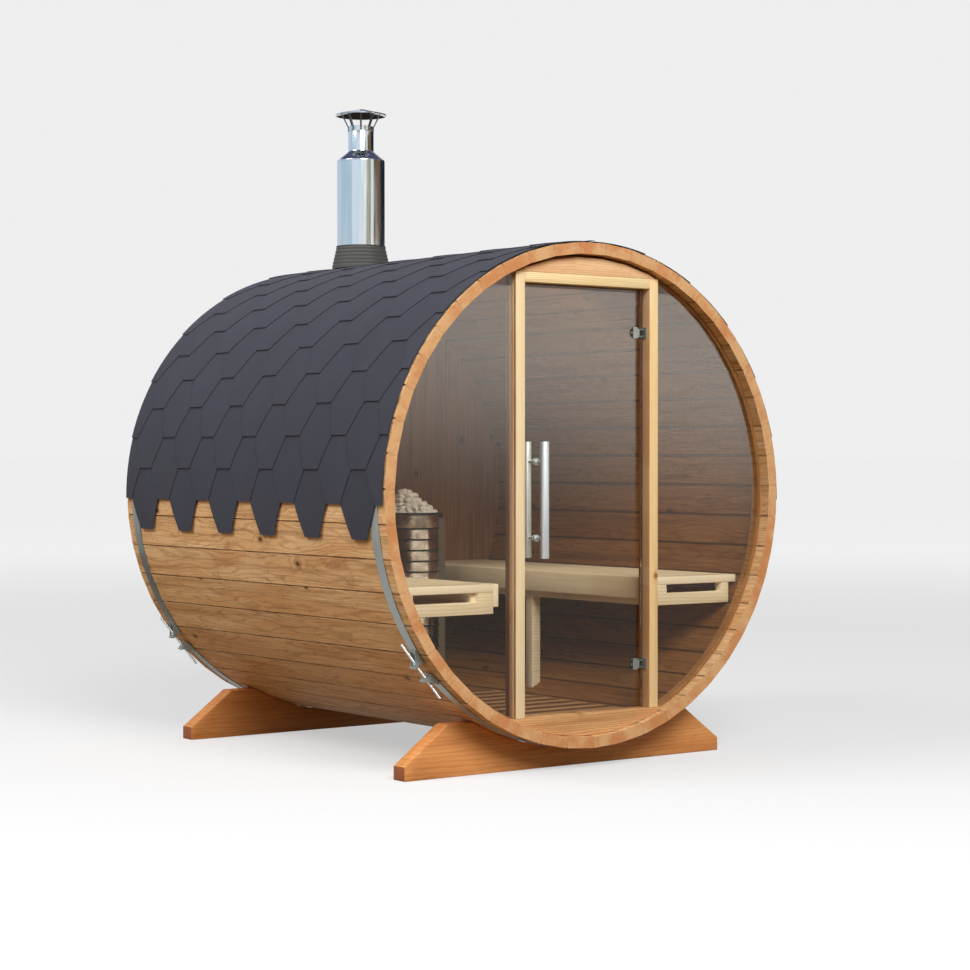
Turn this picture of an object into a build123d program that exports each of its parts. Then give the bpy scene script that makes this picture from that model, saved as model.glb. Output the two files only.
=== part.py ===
from build123d import *
import math
import os

# Barrel sauna of tongued staves on two cradles, with a glazed front, a glass door, a shingled
# back, two benches, a duckboard, and a stove whose flue goes out through the crown.
# Millimetres, +Z up, +X to the right as seen from the front, and the front looks along -Y.
# The origin is on the ground, under the middle of the barrel. The pieces are drawn with
# z = 0 on the barrel's axis and are lifted to their height when they are written.

# Barrel
barrel_radius = 1000.0
barrel_length = 2000.0
ground_clearance = 84.0
floor_rise = 136.0
stave_count = 47
stave_thickness = 45.0
stave_chamfer = 4.0
bead_height = 5.0
bead_width = 18.0
groove_depth = 10.0

# Clearances
joint_gap = 0.4
seat_gap = 0.3
glass_gap = 0.5
pin_gap = 0.1
door_gap = 6.0
overcut = 1.0

# Cradles
cradle_half_width = 805.0
cradle_height = 204.0
cradle_end_height = 54.0
cradle_shoulder = 602.0
cradle_thickness = 75.0
front_cradle_depth = 152.0
rear_cradle_inset = 145.0

# Hoops and their tensioners
hoop_width = 50.0
hoop_thickness = 1.2
hoop_inset = 73.0
tensioner_angle = 220.0
tail_angle = 7.8
lug_gap = 54.0
lug_length = 60.0
lug_width = 36.0
lug_height = 38.0
lug_plate = 4.0
lug_upright = 6.0
cheek_run = 24.0
cheek_height = 21.0
rod_radius = 5.0
rod_hole_gap = 1.5
rod_length = 280.0
rod_height = 24.5
nut_across = 17.0
nut_height = 9.0
nut_washer = 4.0

# Shingles
shingle_thickness = 2.2
shingle_margin = 8.0
tabs_per_course = 6
tab_foot = 100.0
course_angle = 7.56
eave_angle = 9.1
courses_per_side = 12
notch_reach = 30.0

# Front wall
front_depth = 30.0
frame_depth = 72.0
post_width = 45.0
opening_half_width = 319.0
head_drop = 168.0
lintel_height = 40.0
header_gap = 12.0
pane_thickness = 8.0
pane_depth = 45.0
pane_bite = 12.0
bead_strip_width = 14.0
bead_strip_depth = 36.0
stop_width = 12.0
stop_depth = 14.0
stop_setback = 25.0

# Door
glass_thickness = 8.0
glass_depth = 72.5
glass_edge_gap = 7.0
hinge_margin = 177.0
hinge_inset = 21.0
hinge_height = 44.0
hinge_reach = 34.0
hinge_plate = 5.0
hinge_arm = 8.0
hinge_web = 12.0
hinge_notch = 14.0
hinge_notch_height = 37.0
wall_plate = 4.0
wall_plate_width = 54.0
knuckle_radius = 6.0
knuckle_gap = 3.0
pin_radius = 3.0
ear_height = 5.0
ear_inset = 6.0
ear_gap = 0.5
handle_radius = 17.5
handle_length = 457.0
handle_inset = 88.0
handle_reach = 53.0
standoff_radius = 8.0
standoff_spacing = 300.0
rosette_radius = 14.0
rosette_height = 6.0

# Back wall
back_wall_inset = 92.0
back_board_thickness = 28.0
back_board_width = 95.0

# Duckboard
duckboard_half_width = 245.0
duckboard_start = 108.0
duckboard_stove_gap = 20.0
slat_width = 90.0
slat_gap = 25.0
slat_thickness = 24.0
runner_width = 40.0
runner_offset = 150.0

# Benches
bench_height = 522.0
bench_edge = 384.0
bench_lip = 25.0
bench_lip_depth = 90.0
bench_board = 32.0
bench_slot = 36.0
bench_rail = 48.0
bench_front = 118.0
bench_end_board = 90.0
bench_slats = 5
bench_slat_gap = 10.0
bench_rail_thickness = 40.0
bench_stile = 100.0
bench_leg = 45.0
bench_leg_gap = 12.5
bench_wall_gap = 4.0

# Stove, heat screen and flue
stove_setback = 400.0
stove_height = 774.0
stove_radius = 116.0
stove_wall = 3.0
stove_band = 66.0
rim_height = 8.0
tray_depth = 20.0
ring_pitch = 47.0
ring_height = 4.0
ring_lip = 4.0
ring_bite = 1.0
stove_foot_radius = 14.0
stove_foot_height = 40.0
stove_foot_spread = 80.0
slab_half_width = 190.0
slab_half_length = 152.0
stone_rise = 110.0
screen_gap = 50.0
screen_drop = 20.0
screen_half_width = 300.0
screen_thickness = 10.0
flue_radius = 57.5
flue_wall = 1.5
flue_drop = 160.0
flue_bend = 90.0

# Chimney
chimney_inset = 350.0
chimney_radius = 107.5
chimney_hole_gap = 5.0
chimney_dip = 75.0
chimney_rise = 483.0
reducer_rim = 6.0
reducer_height = 47.0
reducer_wall = 2.0
top_pipe_height = 113.0
cap_radius = 115.0
cap_gap = 55.0
cap_height = 26.0
cap_lip = 6.0
cap_wall = 2.0
collar_height = 22.0
collar_thickness = 4.0
strut_count = 10
strut_width = 8.0
strut_thickness = 3.0
strut_foot_drop = 4.0
strut_inset = 23.0
boot_foot_radius = 130.0
boot_head_radius = 112.0
boot_rise = 104.0
boot_ribs = 6

# Worked out from the sizes above
axis_height = ground_clearance + barrel_radius
half_pitch = 180.0 / stave_count
outer_flat = barrel_radius * math.cos(math.radians(half_pitch))
inner_flat = outer_flat - stave_thickness
front_y = -barrel_length / 2
floor_level = floor_rise - barrel_radius
opening_bottom = floor_level
opening_top = barrel_radius - head_drop
post_outer = opening_half_width + post_width
frame_back = front_depth + frame_depth
back_wall_front = barrel_length - back_wall_inset - back_board_thickness
bench_top = floor_level + bench_height
bench_near = bench_edge + bench_lip + joint_gap
bench_back = back_wall_front - bench_wall_gap
bed_radius = inner_flat - seat_gap
chimney_depth = barrel_length - chimney_inset
chimney_bottom = barrel_radius - chimney_dip
chimney_top = barrel_radius + chimney_rise
stove_depth = chimney_depth - stove_setback
stove_top = floor_level + stove_height
stove_bottom = floor_level + stove_foot_height
screen_depth = stove_depth + stove_radius + ring_lip + screen_gap
shingle_bed = barrel_radius + seat_gap + hoop_thickness + seat_gap
course_drop = shingle_thickness + seat_gap
shingle_radius = shingle_bed + shingle_thickness + 2 * course_drop
pivot_x = opening_half_width - hinge_inset
pivot_y = front_y + glass_depth + glass_thickness / 2


def polar(radius, degrees):
    """Point at a radius from the barrel's axis, counted from +X towards +Z."""
    turn = math.radians(degrees)
    return (radius * math.cos(turn), radius * math.sin(turn))


def along_y(outline, start, end):
    """An outline seen from the front, drawn out between two depths behind the barrel's front."""
    plane = Plane(origin=(0, front_y + start, 0), x_dir=(1, 0, 0), z_dir=(0, -1, 0))
    return extrude(plane * outline, amount=start - end)


def block(x0, x1, start, end, z0, z1):
    """Box between two x, two depths behind the front, and two heights."""
    middle = Pos((x0 + x1) / 2, front_y + (start + end) / 2, (z0 + z1) / 2)
    return middle * Box(x1 - x0, end - start, z1 - z0)


def upright(radius, depth, z0, z1, x=0.0):
    """Standing cylinder at a depth behind the front."""
    return Pos(x, front_y + depth, (z0 + z1) / 2) * Cylinder(radius, z1 - z0)


def rectangle(x0, x1, z0, z1):
    """Flat rectangle seen from the front."""
    return Pos((x0 + x1) / 2, (z0 + z1) / 2) * Rectangle(x1 - x0, z1 - z0)


def write(name, *pieces):
    """Write a node, lifted from the barrel's axis to its height above the ground."""
    solids = []
    for piece in pieces:
        solids.extend(piece.solids())
    lifted = [Pos(0, 0, axis_height) * solid for solid in solids]
    shape = lifted[0] if len(lifted) == 1 else Compound(children=lifted)
    export_step(shape, "parts/" + name + ".step")


def mirrored(piece):
    """The same piece on the other side of the barrel."""
    return mirror(piece, about=Plane.YZ)


# Barrel of staves

def stave_outline():
    """End view of the crown stave: flat faces, a cove on the right edge, a bead on the left."""
    lean = math.radians(half_pitch)

    def edge(side, height, proud=0.0):
        along = height / math.cos(lean)
        out = proud - joint_gap / 2
        x = side * (along * math.sin(lean) + out * math.cos(lean))
        return (x, along * math.cos(lean) - out * math.sin(lean))

    middle = inner_flat + stave_thickness / 2
    low = middle - bead_width / 2
    high = middle + bead_width / 2
    shoulder = outer_flat - stave_chamfer
    corner = edge(1, outer_flat)[0] - stave_chamfer
    return make_face([
        Line((-corner, outer_flat), (corner, outer_flat)),
        Line((corner, outer_flat), edge(1, shoulder)),
        Line(edge(1, shoulder), edge(1, high)),
        ThreePointArc(edge(1, high), edge(1, middle, -bead_height), edge(1, low)),
        Line(edge(1, low), edge(1, inner_flat)),
        Line(edge(1, inner_flat), edge(-1, inner_flat)),
        Line(edge(-1, inner_flat), edge(-1, low)),
        ThreePointArc(edge(-1, low), edge(-1, middle, bead_height), edge(-1, high)),
        Line(edge(-1, high), edge(-1, shoulder)),
        Line(edge(-1, shoulder), (-corner, outer_flat)),
    ])


def grooved_stave():
    """Crown stave with the grooves that hold the front glass and the back wall."""
    stave = along_y(stave_outline(), 0, barrel_length)
    reach = barrel_radius * math.radians(half_pitch) + bead_height + overcut
    top = inner_flat + groove_depth
    pane_start = pane_depth - glass_gap
    pane_end = pane_depth + pane_thickness + glass_gap
    stave -= block(-reach, reach, pane_start, pane_end, inner_flat - overcut, top)
    wall_end = barrel_length - back_wall_inset + seat_gap
    wall_start = wall_end - back_board_thickness - 2 * seat_gap
    stave -= block(-reach, reach, wall_start, wall_end, inner_flat - overcut, top)
    return stave


stave = grooved_stave()
chimney_hole = upright(chimney_radius + chimney_hole_gap, chimney_depth, 0, 2 * barrel_radius)
stave_groups = {
    "staves_top": range(-2, 3),
    "staves_upper_right": range(3, 9),
    "staves_right": range(9, 15),
    "staves_lower_right": range(15, 21),
    "staves_bottom": range(21, 27),
    "staves_lower_left": range(27, 33),
    "staves_left": range(33, 39),
    "staves_upper_left": range(39, 45),
}


def write_staves():
    for name, places in stave_groups.items():
        ring = [Rot(0, place * 2 * half_pitch, 0) * stave for place in places]
        if name == "staves_top":
            ring = [piece - chimney_hole for piece in ring]
        write(name, *ring)


# Cradles

def cradle(start):
    """Plank with sloping shoulders and a saddle that follows the barrel."""
    ground = -axis_height
    rim = ground + cradle_end_height
    top = ground + cradle_height
    seat = barrel_radius + seat_gap
    lip = math.sqrt(seat ** 2 - top ** 2)
    outline = make_face([
        Line((-cradle_half_width, ground), (cradle_half_width, ground)),
        Line((cradle_half_width, ground), (cradle_half_width, rim)),
        Line((cradle_half_width, rim), (cradle_shoulder, top)),
        Line((cradle_shoulder, top), (lip, top)),
        ThreePointArc((lip, top), (0, -seat), (-lip, top)),
        Line((-lip, top), (-cradle_shoulder, top)),
        Line((-cradle_shoulder, top), (-cradle_half_width, rim)),
        Line((-cradle_half_width, rim), (-cradle_half_width, ground)),
    ])
    return along_y(outline, start, start + cradle_thickness)


def write_cradles():
    write("front_cradle", cradle(front_cradle_depth))
    write("rear_cradle", cradle(barrel_length - rear_cradle_inset - cradle_thickness))


# Hoops: a flat band whose two tails leave the staves and end in lugs, drawn together by a rod

def tail_points(side, radius):
    """Where a tail leaves the staves, and where it ends, on one side of the tensioner."""
    leave = tensioner_angle + side * tail_angle
    start = Vector(*polar(radius, leave))
    run = barrel_radius * math.tan(math.radians(tail_angle)) - lug_gap / 2
    turn = math.radians(leave)
    tangent = Vector(math.sin(turn), -math.cos(turn)) * side
    return start, start + tangent * run, tangent


def lug(side):
    """Folded bracket on a tail: base, upright plate for the rod, and two side cheeks."""
    inner = barrel_radius + seat_gap + hoop_thickness
    start, end, tangent = tail_points(side, inner)
    slope = math.degrees(math.atan2(tangent.Y, tangent.X))
    normal = 1 if Vector(-tangent.Y, tangent.X).dot(end) > 0 else -1
    base = rectangle(-lug_length, 0, 0, normal * lug_plate)
    plate = rectangle(-lug_upright, 0, 0, normal * lug_height)
    cheek = make_face(Polyline((-lug_length, 0), (0, 0), (0, normal * lug_height),
                               (-cheek_run, normal * cheek_height),
                               (-lug_length, normal * lug_plate), close=True))
    place = Pos(end.X, end.Y) * Rot(0, 0, slope)
    half = lug_width / 2
    middle = hoop_inset
    body = along_y(place * base, middle - half, middle + half)
    body += along_y(place * plate, middle - half, middle + half)
    for edge in (middle - half, middle + half - lug_plate):
        body += along_y(place * cheek, edge, edge + lug_plate)
    return body


def rod_frame():
    """Middle of the tensioning rod, and its direction."""
    middle = Vector(*polar(barrel_radius + rod_height, tensioner_angle))
    turn = math.radians(tensioner_angle)
    return middle, Vector(-math.sin(turn), math.cos(turn))


def rod_piece(radius, start, end, sides=0):
    """Round or six-sided length on the rod's axis, counted from its middle."""
    middle, run = rod_frame()
    foot = middle + run * start
    origin = (foot.X, front_y + hoop_inset, foot.Y)
    plane = Plane(origin=origin, x_dir=(0, 1, 0), z_dir=(run.X, 0, run.Y))
    outline = RegularPolygon(radius, sides, major_radius=False) if sides else Circle(radius)
    return extrude(plane * outline, amount=end - start)


def front_hoop():
    """Band with its lugs, at the front end of the barrel."""
    inner = barrel_radius + seat_gap
    outer = inner + hoop_thickness
    first = tensioner_angle + tail_angle
    last = tensioner_angle - tail_angle + 360
    across = tensioner_angle + 180
    band = make_face([
        ThreePointArc(polar(outer, first), polar(outer, across), polar(outer, last)),
        Line(polar(outer, last), polar(inner, last)),
        ThreePointArc(polar(inner, last), polar(inner, across), polar(inner, first)),
        Line(polar(inner, first), polar(outer, first)),
    ])
    hoop = along_y(band, hoop_inset - hoop_width / 2, hoop_inset + hoop_width / 2)
    for side in (-1, 1):
        start, end, tangent = tail_points(side, inner)
        out = start.normalized() * hoop_thickness
        tail = make_face(Polyline(
            (start.X, start.Y), (end.X, end.Y), (end.X + out.X, end.Y + out.Y),
            (start.X + out.X, start.Y + out.Y), close=True))
        hoop += along_y(tail, hoop_inset - hoop_width / 2, hoop_inset + hoop_width / 2)
        hoop += lug(side)
    return hoop - rod_piece(rod_radius + rod_hole_gap, -rod_length, rod_length)


def front_tensioner():
    """Threaded rod with a nut behind each lug."""
    rod = rod_piece(rod_radius, -rod_length / 2, rod_length / 2)
    bearing = lug_gap / 2 + lug_upright + nut_washer
    rod += rod_piece(nut_across / 2, bearing, bearing + nut_height, 6)
    rod += rod_piece(nut_across / 2, -bearing - nut_height, -bearing, 6)
    return rod


def write_hoops():
    to_rear = Pos(0, barrel_length - 2 * hoop_inset, 0)
    hoop = front_hoop()
    tensioner = front_tensioner()
    write("front_hoop", hoop)
    write("rear_hoop", to_rear * hoop)
    write("hoop_tensioners", tensioner, to_rear * tensioner)


# Shingles

def shingle_plate(first, last, fall):
    """Curved plate between two angles. Its faces fall towards the crown as the courses lap."""
    middle = (first + last) / 2

    def face_points(lift):
        return (polar(shingle_radius + lift, first), polar(shingle_radius + lift - fall / 2, middle),
                polar(shingle_radius + lift - fall, last))

    top = face_points(0)
    under = face_points(-shingle_thickness)
    outline = make_face([
        ThreePointArc(*top),
        Line(top[2], under[2]),
        ThreePointArc(*reversed(under)),
        Line(under[0], top[0]),
    ])
    return along_y(outline, shingle_margin, barrel_length - shingle_margin)


def tab_notches(first, shift):
    """Wedges between the tabs of a course whose foot is at an angle, half a pitch on or not."""
    pitch = (barrel_length - 2 * shingle_margin) / tabs_per_course
    mouth = (pitch - tab_foot) / 2
    root = tab_foot / 2
    height = shingle_radius * math.radians(course_angle)
    frame = Rot(0, 90 - first - course_angle / 2, 0)
    foot = height / 2 + overcut
    head = -height / 2
    wedge = make_face(Polyline((foot, -mouth), (head, -root), (head, root), (foot, mouth), close=True))
    wedge = extrude(Plane.XY.offset(shingle_radius - notch_reach) * wedge, amount=2 * notch_reach)
    notches = []
    for step in range(tabs_per_course + 1):
        middle = front_y + shingle_margin + (step + shift) * pitch
        notches.append(frame * Pos(0, middle, 0) * wedge)
    return notches


def shingle_course(number):
    """One course on the right side, counted from the eave."""
    first = -eave_angle + number * course_angle
    plate = shingle_plate(first, first + 2 * course_angle, 2 * course_drop)
    shift = 0.0 if number % 2 == 0 else 0.5
    for notch in tab_notches(first, shift):
        plate -= notch
    return plate


def ridge_cap():
    """Top course, which laps both sides and has tabs along both feet."""
    first = -eave_angle + courses_per_side * course_angle
    fall = course_drop * (90.0 - first) / course_angle / 2

    def arc(lift):
        radius = shingle_radius + lift
        return [polar(radius, first), polar(radius - fall, 90.0), polar(radius, 180.0 - first)]

    top = arc(0)
    under = arc(-shingle_thickness)
    cap = along_y(make_face([
        ThreePointArc(*top),
        Line(top[2], under[2]),
        ThreePointArc(*reversed(under)),
        Line(under[0], top[0]),
    ]), shingle_margin, barrel_length - shingle_margin)
    shift = 0.0 if courses_per_side % 2 == 0 else 0.5
    for notch in tab_notches(first, shift):
        cap -= notch
        cap -= mirrored(notch)
    return cap


def write_shingles():
    right = [shingle_course(number) - chimney_hole for number in range(courses_per_side)]
    write("shingles_right", *right)
    write("shingles_left", *[mirrored(course) for course in right])
    write("ridge_cap", ridge_cap() - chimney_hole)


# Front wall

pane_radius = inner_flat + groove_depth - glass_gap


def post(side, stop):
    """Door post with a groove for the fixed pane, and a stop strip on the latch side."""
    bottom = opening_bottom + seat_gap
    top = opening_top + lintel_height
    x0, x1 = sorted((side * opening_half_width, side * post_outer))
    body = block(x0, x1, front_depth, frame_back, bottom, top)
    g0, g1 = sorted((side * (post_outer - pane_bite), side * (post_outer + overcut)))
    groove_start = pane_depth - glass_gap
    groove_end = pane_depth + pane_thickness + glass_gap
    body -= block(g0, g1, groove_start, groove_end, bottom - overcut, top + overcut)
    if stop:
        s0, s1 = sorted((side * (opening_half_width - stop_width), side * opening_half_width))
        body += block(s0, s1, frame_back - stop_depth, frame_back, bottom, opening_top)
    return body


def write_front_frame():
    write("left_post", post(-1, True))
    write("right_post", post(1, False))
    inside = opening_half_width - seat_gap
    lintel = block(-inside, inside, front_depth, frame_back, opening_top, opening_top + lintel_height)
    free = opening_half_width - stop_width - seat_gap
    stop_end = pivot_x - stop_setback
    stop_start = frame_back - stop_depth
    lintel += block(-free, stop_end, stop_start, frame_back, opening_top - stop_width, opening_top)
    write("lintel", lintel)
    header_bottom = opening_top + lintel_height + seat_gap
    arch = RegularPolygon(inner_flat - header_gap, stave_count, major_radius=False, rotation=90 - half_pitch)
    header = arch & rectangle(-post_outer, post_outer, header_bottom, barrel_radius)
    write("header", along_y(header, front_depth, frame_back))
    sill = Circle(bed_radius) & rectangle(-barrel_radius, barrel_radius, -barrel_radius, opening_bottom)
    write("sill", along_y(sill, front_depth, frame_back))


def write_panes():
    edge = post_outer - pane_bite + glass_gap
    level = opening_bottom + seat_gap
    header_bottom = opening_top + lintel_height
    bottom = math.sqrt(pane_radius ** 2 - edge ** 2)
    outline = Circle(pane_radius) & rectangle(edge, barrel_radius, -bottom, bottom)
    clear = rectangle(0, barrel_radius, -barrel_radius, level)
    outline -= clear
    outline -= rectangle(0, post_outer + seat_gap, header_bottom, barrel_radius)
    pane = along_y(outline, pane_depth, pane_depth + pane_thickness)
    write("right_glass", pane)
    write("left_glass", mirrored(pane))
    ring = Circle(bed_radius) - Circle(bed_radius - bead_strip_width)
    ring &= rectangle(post_outer + seat_gap, barrel_radius, level, barrel_radius)
    start = pane_depth + pane_thickness + glass_gap
    strip = along_y(ring, start, start + bead_strip_depth)
    write("glazing_beads", strip, mirrored(strip))


# Door

door_half_width = opening_half_width - glass_edge_gap
door_bottom = opening_bottom + door_gap
door_top = opening_top - door_gap
hinge_levels = (opening_top - hinge_margin, opening_bottom + hinge_margin)
handle_middle = (opening_bottom + opening_top) / 2


def door_glass():
    """Frameless pane with a notch at each hinge and a hole for each handle bolt."""
    back = glass_depth + glass_thickness
    pane = block(-door_half_width, door_half_width, glass_depth, back, door_bottom, door_top)
    for level in hinge_levels:
        low = level - hinge_notch_height / 2
        high = level + hinge_notch_height / 2
        start = glass_depth - overcut
        pane -= block(pivot_x - hinge_notch, door_half_width + overcut, start, back + overcut, low, high)
    return pane


def hinge_leaf(level):
    """Moving half: two clamp plates on the glass, joined by a web to the knuckle."""
    outer_edge = pivot_x - hinge_reach
    inner_edge = pivot_x - knuckle_radius - knuckle_gap
    half = hinge_height / 2
    front = glass_depth - seat_gap
    back = glass_depth + glass_thickness + seat_gap
    leaf = block(outer_edge, inner_edge, front - hinge_plate, front, level - half, level + half)
    leaf += block(outer_edge, inner_edge, back, back + hinge_plate, level - half, level + half)
    knuckle_half = half - ear_inset - ear_height - ear_gap
    low = level - knuckle_half
    high = level + knuckle_half
    middle = pivot_y - front_y
    leaf += block(pivot_x - hinge_web, inner_edge, front - overcut, back + overcut, low, high)
    leaf += block(inner_edge, pivot_x, middle - hinge_arm / 2, middle + hinge_arm / 2, low, high)
    leaf += upright(knuckle_radius, middle, low, high, pivot_x)
    return leaf - upright(pin_radius + pin_gap, middle, level - half, level + half, pivot_x)


def hinge_bracket(level):
    """Fixed half: a plate on the post, with two ears that hold the pin."""
    half = hinge_height / 2
    middle = pivot_y - front_y
    face = opening_half_width - seat_gap
    reach = wall_plate_width / 2
    bracket = block(face - wall_plate, face, middle - reach, middle + reach, level - half, level + half)
    pin_half = half - ear_inset
    for z0 in (level - pin_half, level + pin_half - ear_height):
        z1 = z0 + ear_height
        bracket += block(pivot_x, face - overcut, middle - knuckle_radius, middle + knuckle_radius, z0, z1)
        bracket += upright(knuckle_radius, middle, z0, z1, pivot_x)
    return bracket + upright(pin_radius, middle, level - pin_half, level + pin_half, pivot_x)


def handle(side):
    """Pull handle: tube on two standoffs, each with a rosette on the glass."""
    x = -opening_half_width + handle_inset
    glass_face = glass_depth - seat_gap if side < 0 else glass_depth + glass_thickness + seat_gap
    tube_depth = glass_face + side * handle_reach
    bottom = handle_middle - handle_length / 2
    body = upright(handle_radius, tube_depth, bottom, bottom + handle_length, x)
    for step in (-0.5, 0.5):
        z = handle_middle + step * standoff_spacing
        plane = Plane(origin=(x, front_y + glass_face, z), x_dir=(1, 0, 0), z_dir=(0, side, 0))
        body += extrude(plane * Circle(standoff_radius), amount=handle_reach)
        body += extrude(plane * Circle(rosette_radius), amount=rosette_height)
    return body


def write_door():
    write("door_glass", door_glass())
    write("door_hinges", *[hinge_leaf(level) for level in hinge_levels])
    write("hinge_brackets", *[hinge_bracket(level) for level in hinge_levels])
    write("outer_handle", handle(-1))
    write("inner_handle", handle(1))


# Back wall

def write_back_wall():
    end = barrel_length - back_wall_inset
    disc = Circle(inner_flat + groove_depth - glass_gap)
    reach = inner_flat + groove_depth
    count = math.ceil(2 * reach / back_board_width)
    boards = []
    for number in range(count):
        x0 = (number - count / 2) * back_board_width
        board = disc & rectangle(x0 + joint_gap / 2, x0 + back_board_width - joint_gap / 2, -reach, reach)
        boards.append(along_y(board, end - back_board_thickness, end))
    write("back_wall", *boards)


# Duckboard

def write_duckboard():
    pitch = slat_width + slat_gap
    free = stove_depth - slab_half_length - duckboard_stove_gap - duckboard_start
    count = math.floor((free + slat_gap) / pitch)
    bottom = floor_level - slat_thickness
    half = duckboard_half_width
    boards = []
    for number in range(count):
        near = duckboard_start + number * pitch
        boards.append(block(-half, half, near, near + slat_width, bottom, floor_level))
    write("duckboard_slats", *boards)
    end = duckboard_start + count * pitch - slat_gap
    runners = []
    for x in (-runner_offset, runner_offset):
        strip = rectangle(x - runner_width / 2, x + runner_width / 2, -barrel_radius, bottom - seat_gap)
        runners.append(along_y(Circle(bed_radius) & strip, duckboard_start, end))
    write("duckboard_runners", *runners)


# Benches

def wall_x(z):
    """Distance of the barrel's inner face from the middle, at a height."""
    return math.sqrt(bed_radius ** 2 - z ** 2)


def bench_boards():
    """Right bench top: a deep edge board, an end board across the front, and slats."""
    low = bench_top - bench_board
    lip_low = bench_top - bench_lip_depth
    far = wall_x(low) - bench_wall_gap
    lip = block(bench_edge, bench_edge + bench_lip, bench_front, bench_back, lip_low, bench_top)
    end_board = block(bench_near, far, bench_front, bench_front + bench_end_board, low, bench_top)
    boards = [lip, end_board]
    width = (far - bench_near + bench_slat_gap) / bench_slats
    start = bench_front + bench_end_board + joint_gap
    for number in range(bench_slats):
        x0 = bench_near + number * width
        boards.append(block(x0, x0 + width - bench_slat_gap, start, bench_back, low, bench_top))
    return boards


def bench_frame():
    """Rails under the boards, spacer blocks and a beam between them and the boards, and a leg."""
    spacer_top = bench_top - bench_board - seat_gap
    rail_top = spacer_top - bench_slot
    rail_bottom = rail_top - bench_rail
    near = bench_near
    far = wall_x(rail_bottom) - bench_wall_gap
    thick = bench_rail_thickness
    frame = block(near, near + thick, bench_front, bench_back, rail_bottom, rail_top)
    beam = near + bench_leg + bench_slat_gap
    frame += block(beam, beam + thick, bench_front + thick / 2, bench_back - thick / 2, rail_top, spacer_top)
    cross = (bench_front + bench_back - thick) / 2
    for start in (bench_front, cross, bench_back - thick):
        frame += block(near, far, start, start + thick, rail_bottom, rail_top)
        frame += block(near, bench_edge + bench_stile, start, start + thick, rail_top, spacer_top)
        frame += block(far - thick, far, start, start + thick, rail_top, spacer_top)
    shank = Circle(bed_radius) & rectangle(near, near + bench_leg, -barrel_radius, rail_bottom)
    start = cross - bench_leg_gap - bench_leg
    frame += along_y(shank, start, start + bench_leg)
    frame += block(near, near + bench_leg, start, start + bench_leg, rail_bottom, spacer_top)
    return frame


def write_benches():
    boards = bench_boards()
    frame = bench_frame()
    write("right_bench_top", *boards)
    write("left_bench_top", *[mirrored(board) for board in boards])
    write("right_bench_frame", frame)
    write("left_bench_frame", mirrored(frame))


# Stove, heat screen and flue

def stove_body():
    """Steel casing with thin rings, a plain band under the rim, and an open top tray."""
    inside = stove_radius - stove_wall
    edge = stove_radius + ring_lip
    shell_top = stove_top - stove_band
    tray_bottom = stove_top - tray_depth
    body = upright(stove_radius, stove_depth, stove_bottom, stove_top)
    body += upright(edge, stove_depth, stove_top - rim_height, stove_top)
    body -= upright(inside, stove_depth, stove_bottom + stove_wall, shell_top)
    body -= upright(inside, stove_depth, tray_bottom, stove_top + overcut)
    level = shell_top
    while level > stove_bottom + ring_pitch:
        low = level - ring_height
        ring = upright(edge, stove_depth, low, level)
        body += ring - upright(stove_radius - ring_bite, stove_depth, low - overcut, level + overcut)
        level -= ring_pitch
    foot = upright(stove_foot_radius, stove_depth, floor_level + seat_gap, stove_bottom + ring_bite)
    for turn in (45, 135, 225, 315):
        place = polar(stove_foot_spread, turn)
        body += Pos(place[0], place[1], 0) * foot
    return body


def stones():
    """Heap of stones, as one cone with broken sides."""
    radius = stove_radius - stove_wall - seat_gap
    bottom = stove_top - tray_depth + seat_gap
    shape = ((1.0, 0.0), (0.8, 0.28), (0.45, 0.62), (0.2, 0.93), (0.0, 1.0))
    sides = [(radius * out, stove_top + stone_rise * up) for out, up in shape]
    profile = make_face(Polyline((0, bottom), (radius, bottom), *sides, close=True))
    heap = revolve(Plane.XZ * profile, axis=Axis.Z)
    return Pos(0, front_y + stove_depth, 0) * heap


def stove_base():
    """Slab that carries the stove, hollowed below to lie on the staves."""
    section = Circle(bed_radius) & rectangle(-slab_half_width, slab_half_width, -barrel_radius, floor_level)
    return along_y(section, stove_depth - slab_half_length, stove_depth + slab_half_length)


def heat_screen():
    """Upright board behind the stove, with a hole for the flue."""
    top = stove_top - screen_drop
    section = Circle(bed_radius) & rectangle(-screen_half_width, screen_half_width, -barrel_radius, top)
    section -= Pos(0, stove_top - flue_drop) * Circle(flue_radius + chimney_hole_gap)
    return along_y(section, screen_depth, screen_depth + screen_thickness)


def flue_pipe():
    """Smoke pipe from the back of the stove, through an elbow, up to the chimney."""
    start = front_y + stove_depth + stove_radius + ring_lip + seat_gap
    turn = front_y + chimney_depth
    level = stove_top - flue_drop
    corners = ((0, start, level), (0, turn, level), (0, turn, chimney_bottom - seat_gap))
    mouth = Plane(origin=corners[0], x_dir=(1, 0, 0), z_dir=(0, 1, 0))
    ring = Circle(flue_radius) - Circle(flue_radius - flue_wall)
    return sweep(mouth * ring, path=FilletPolyline(*corners, radius=flue_bend))


def write_stove():
    write("stove_body", stove_body())
    write("stove_stones", stones())
    write("stove_base", stove_base())
    write("heat_screen", heat_screen())
    write("flue_pipe", flue_pipe())


# Chimney

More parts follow.
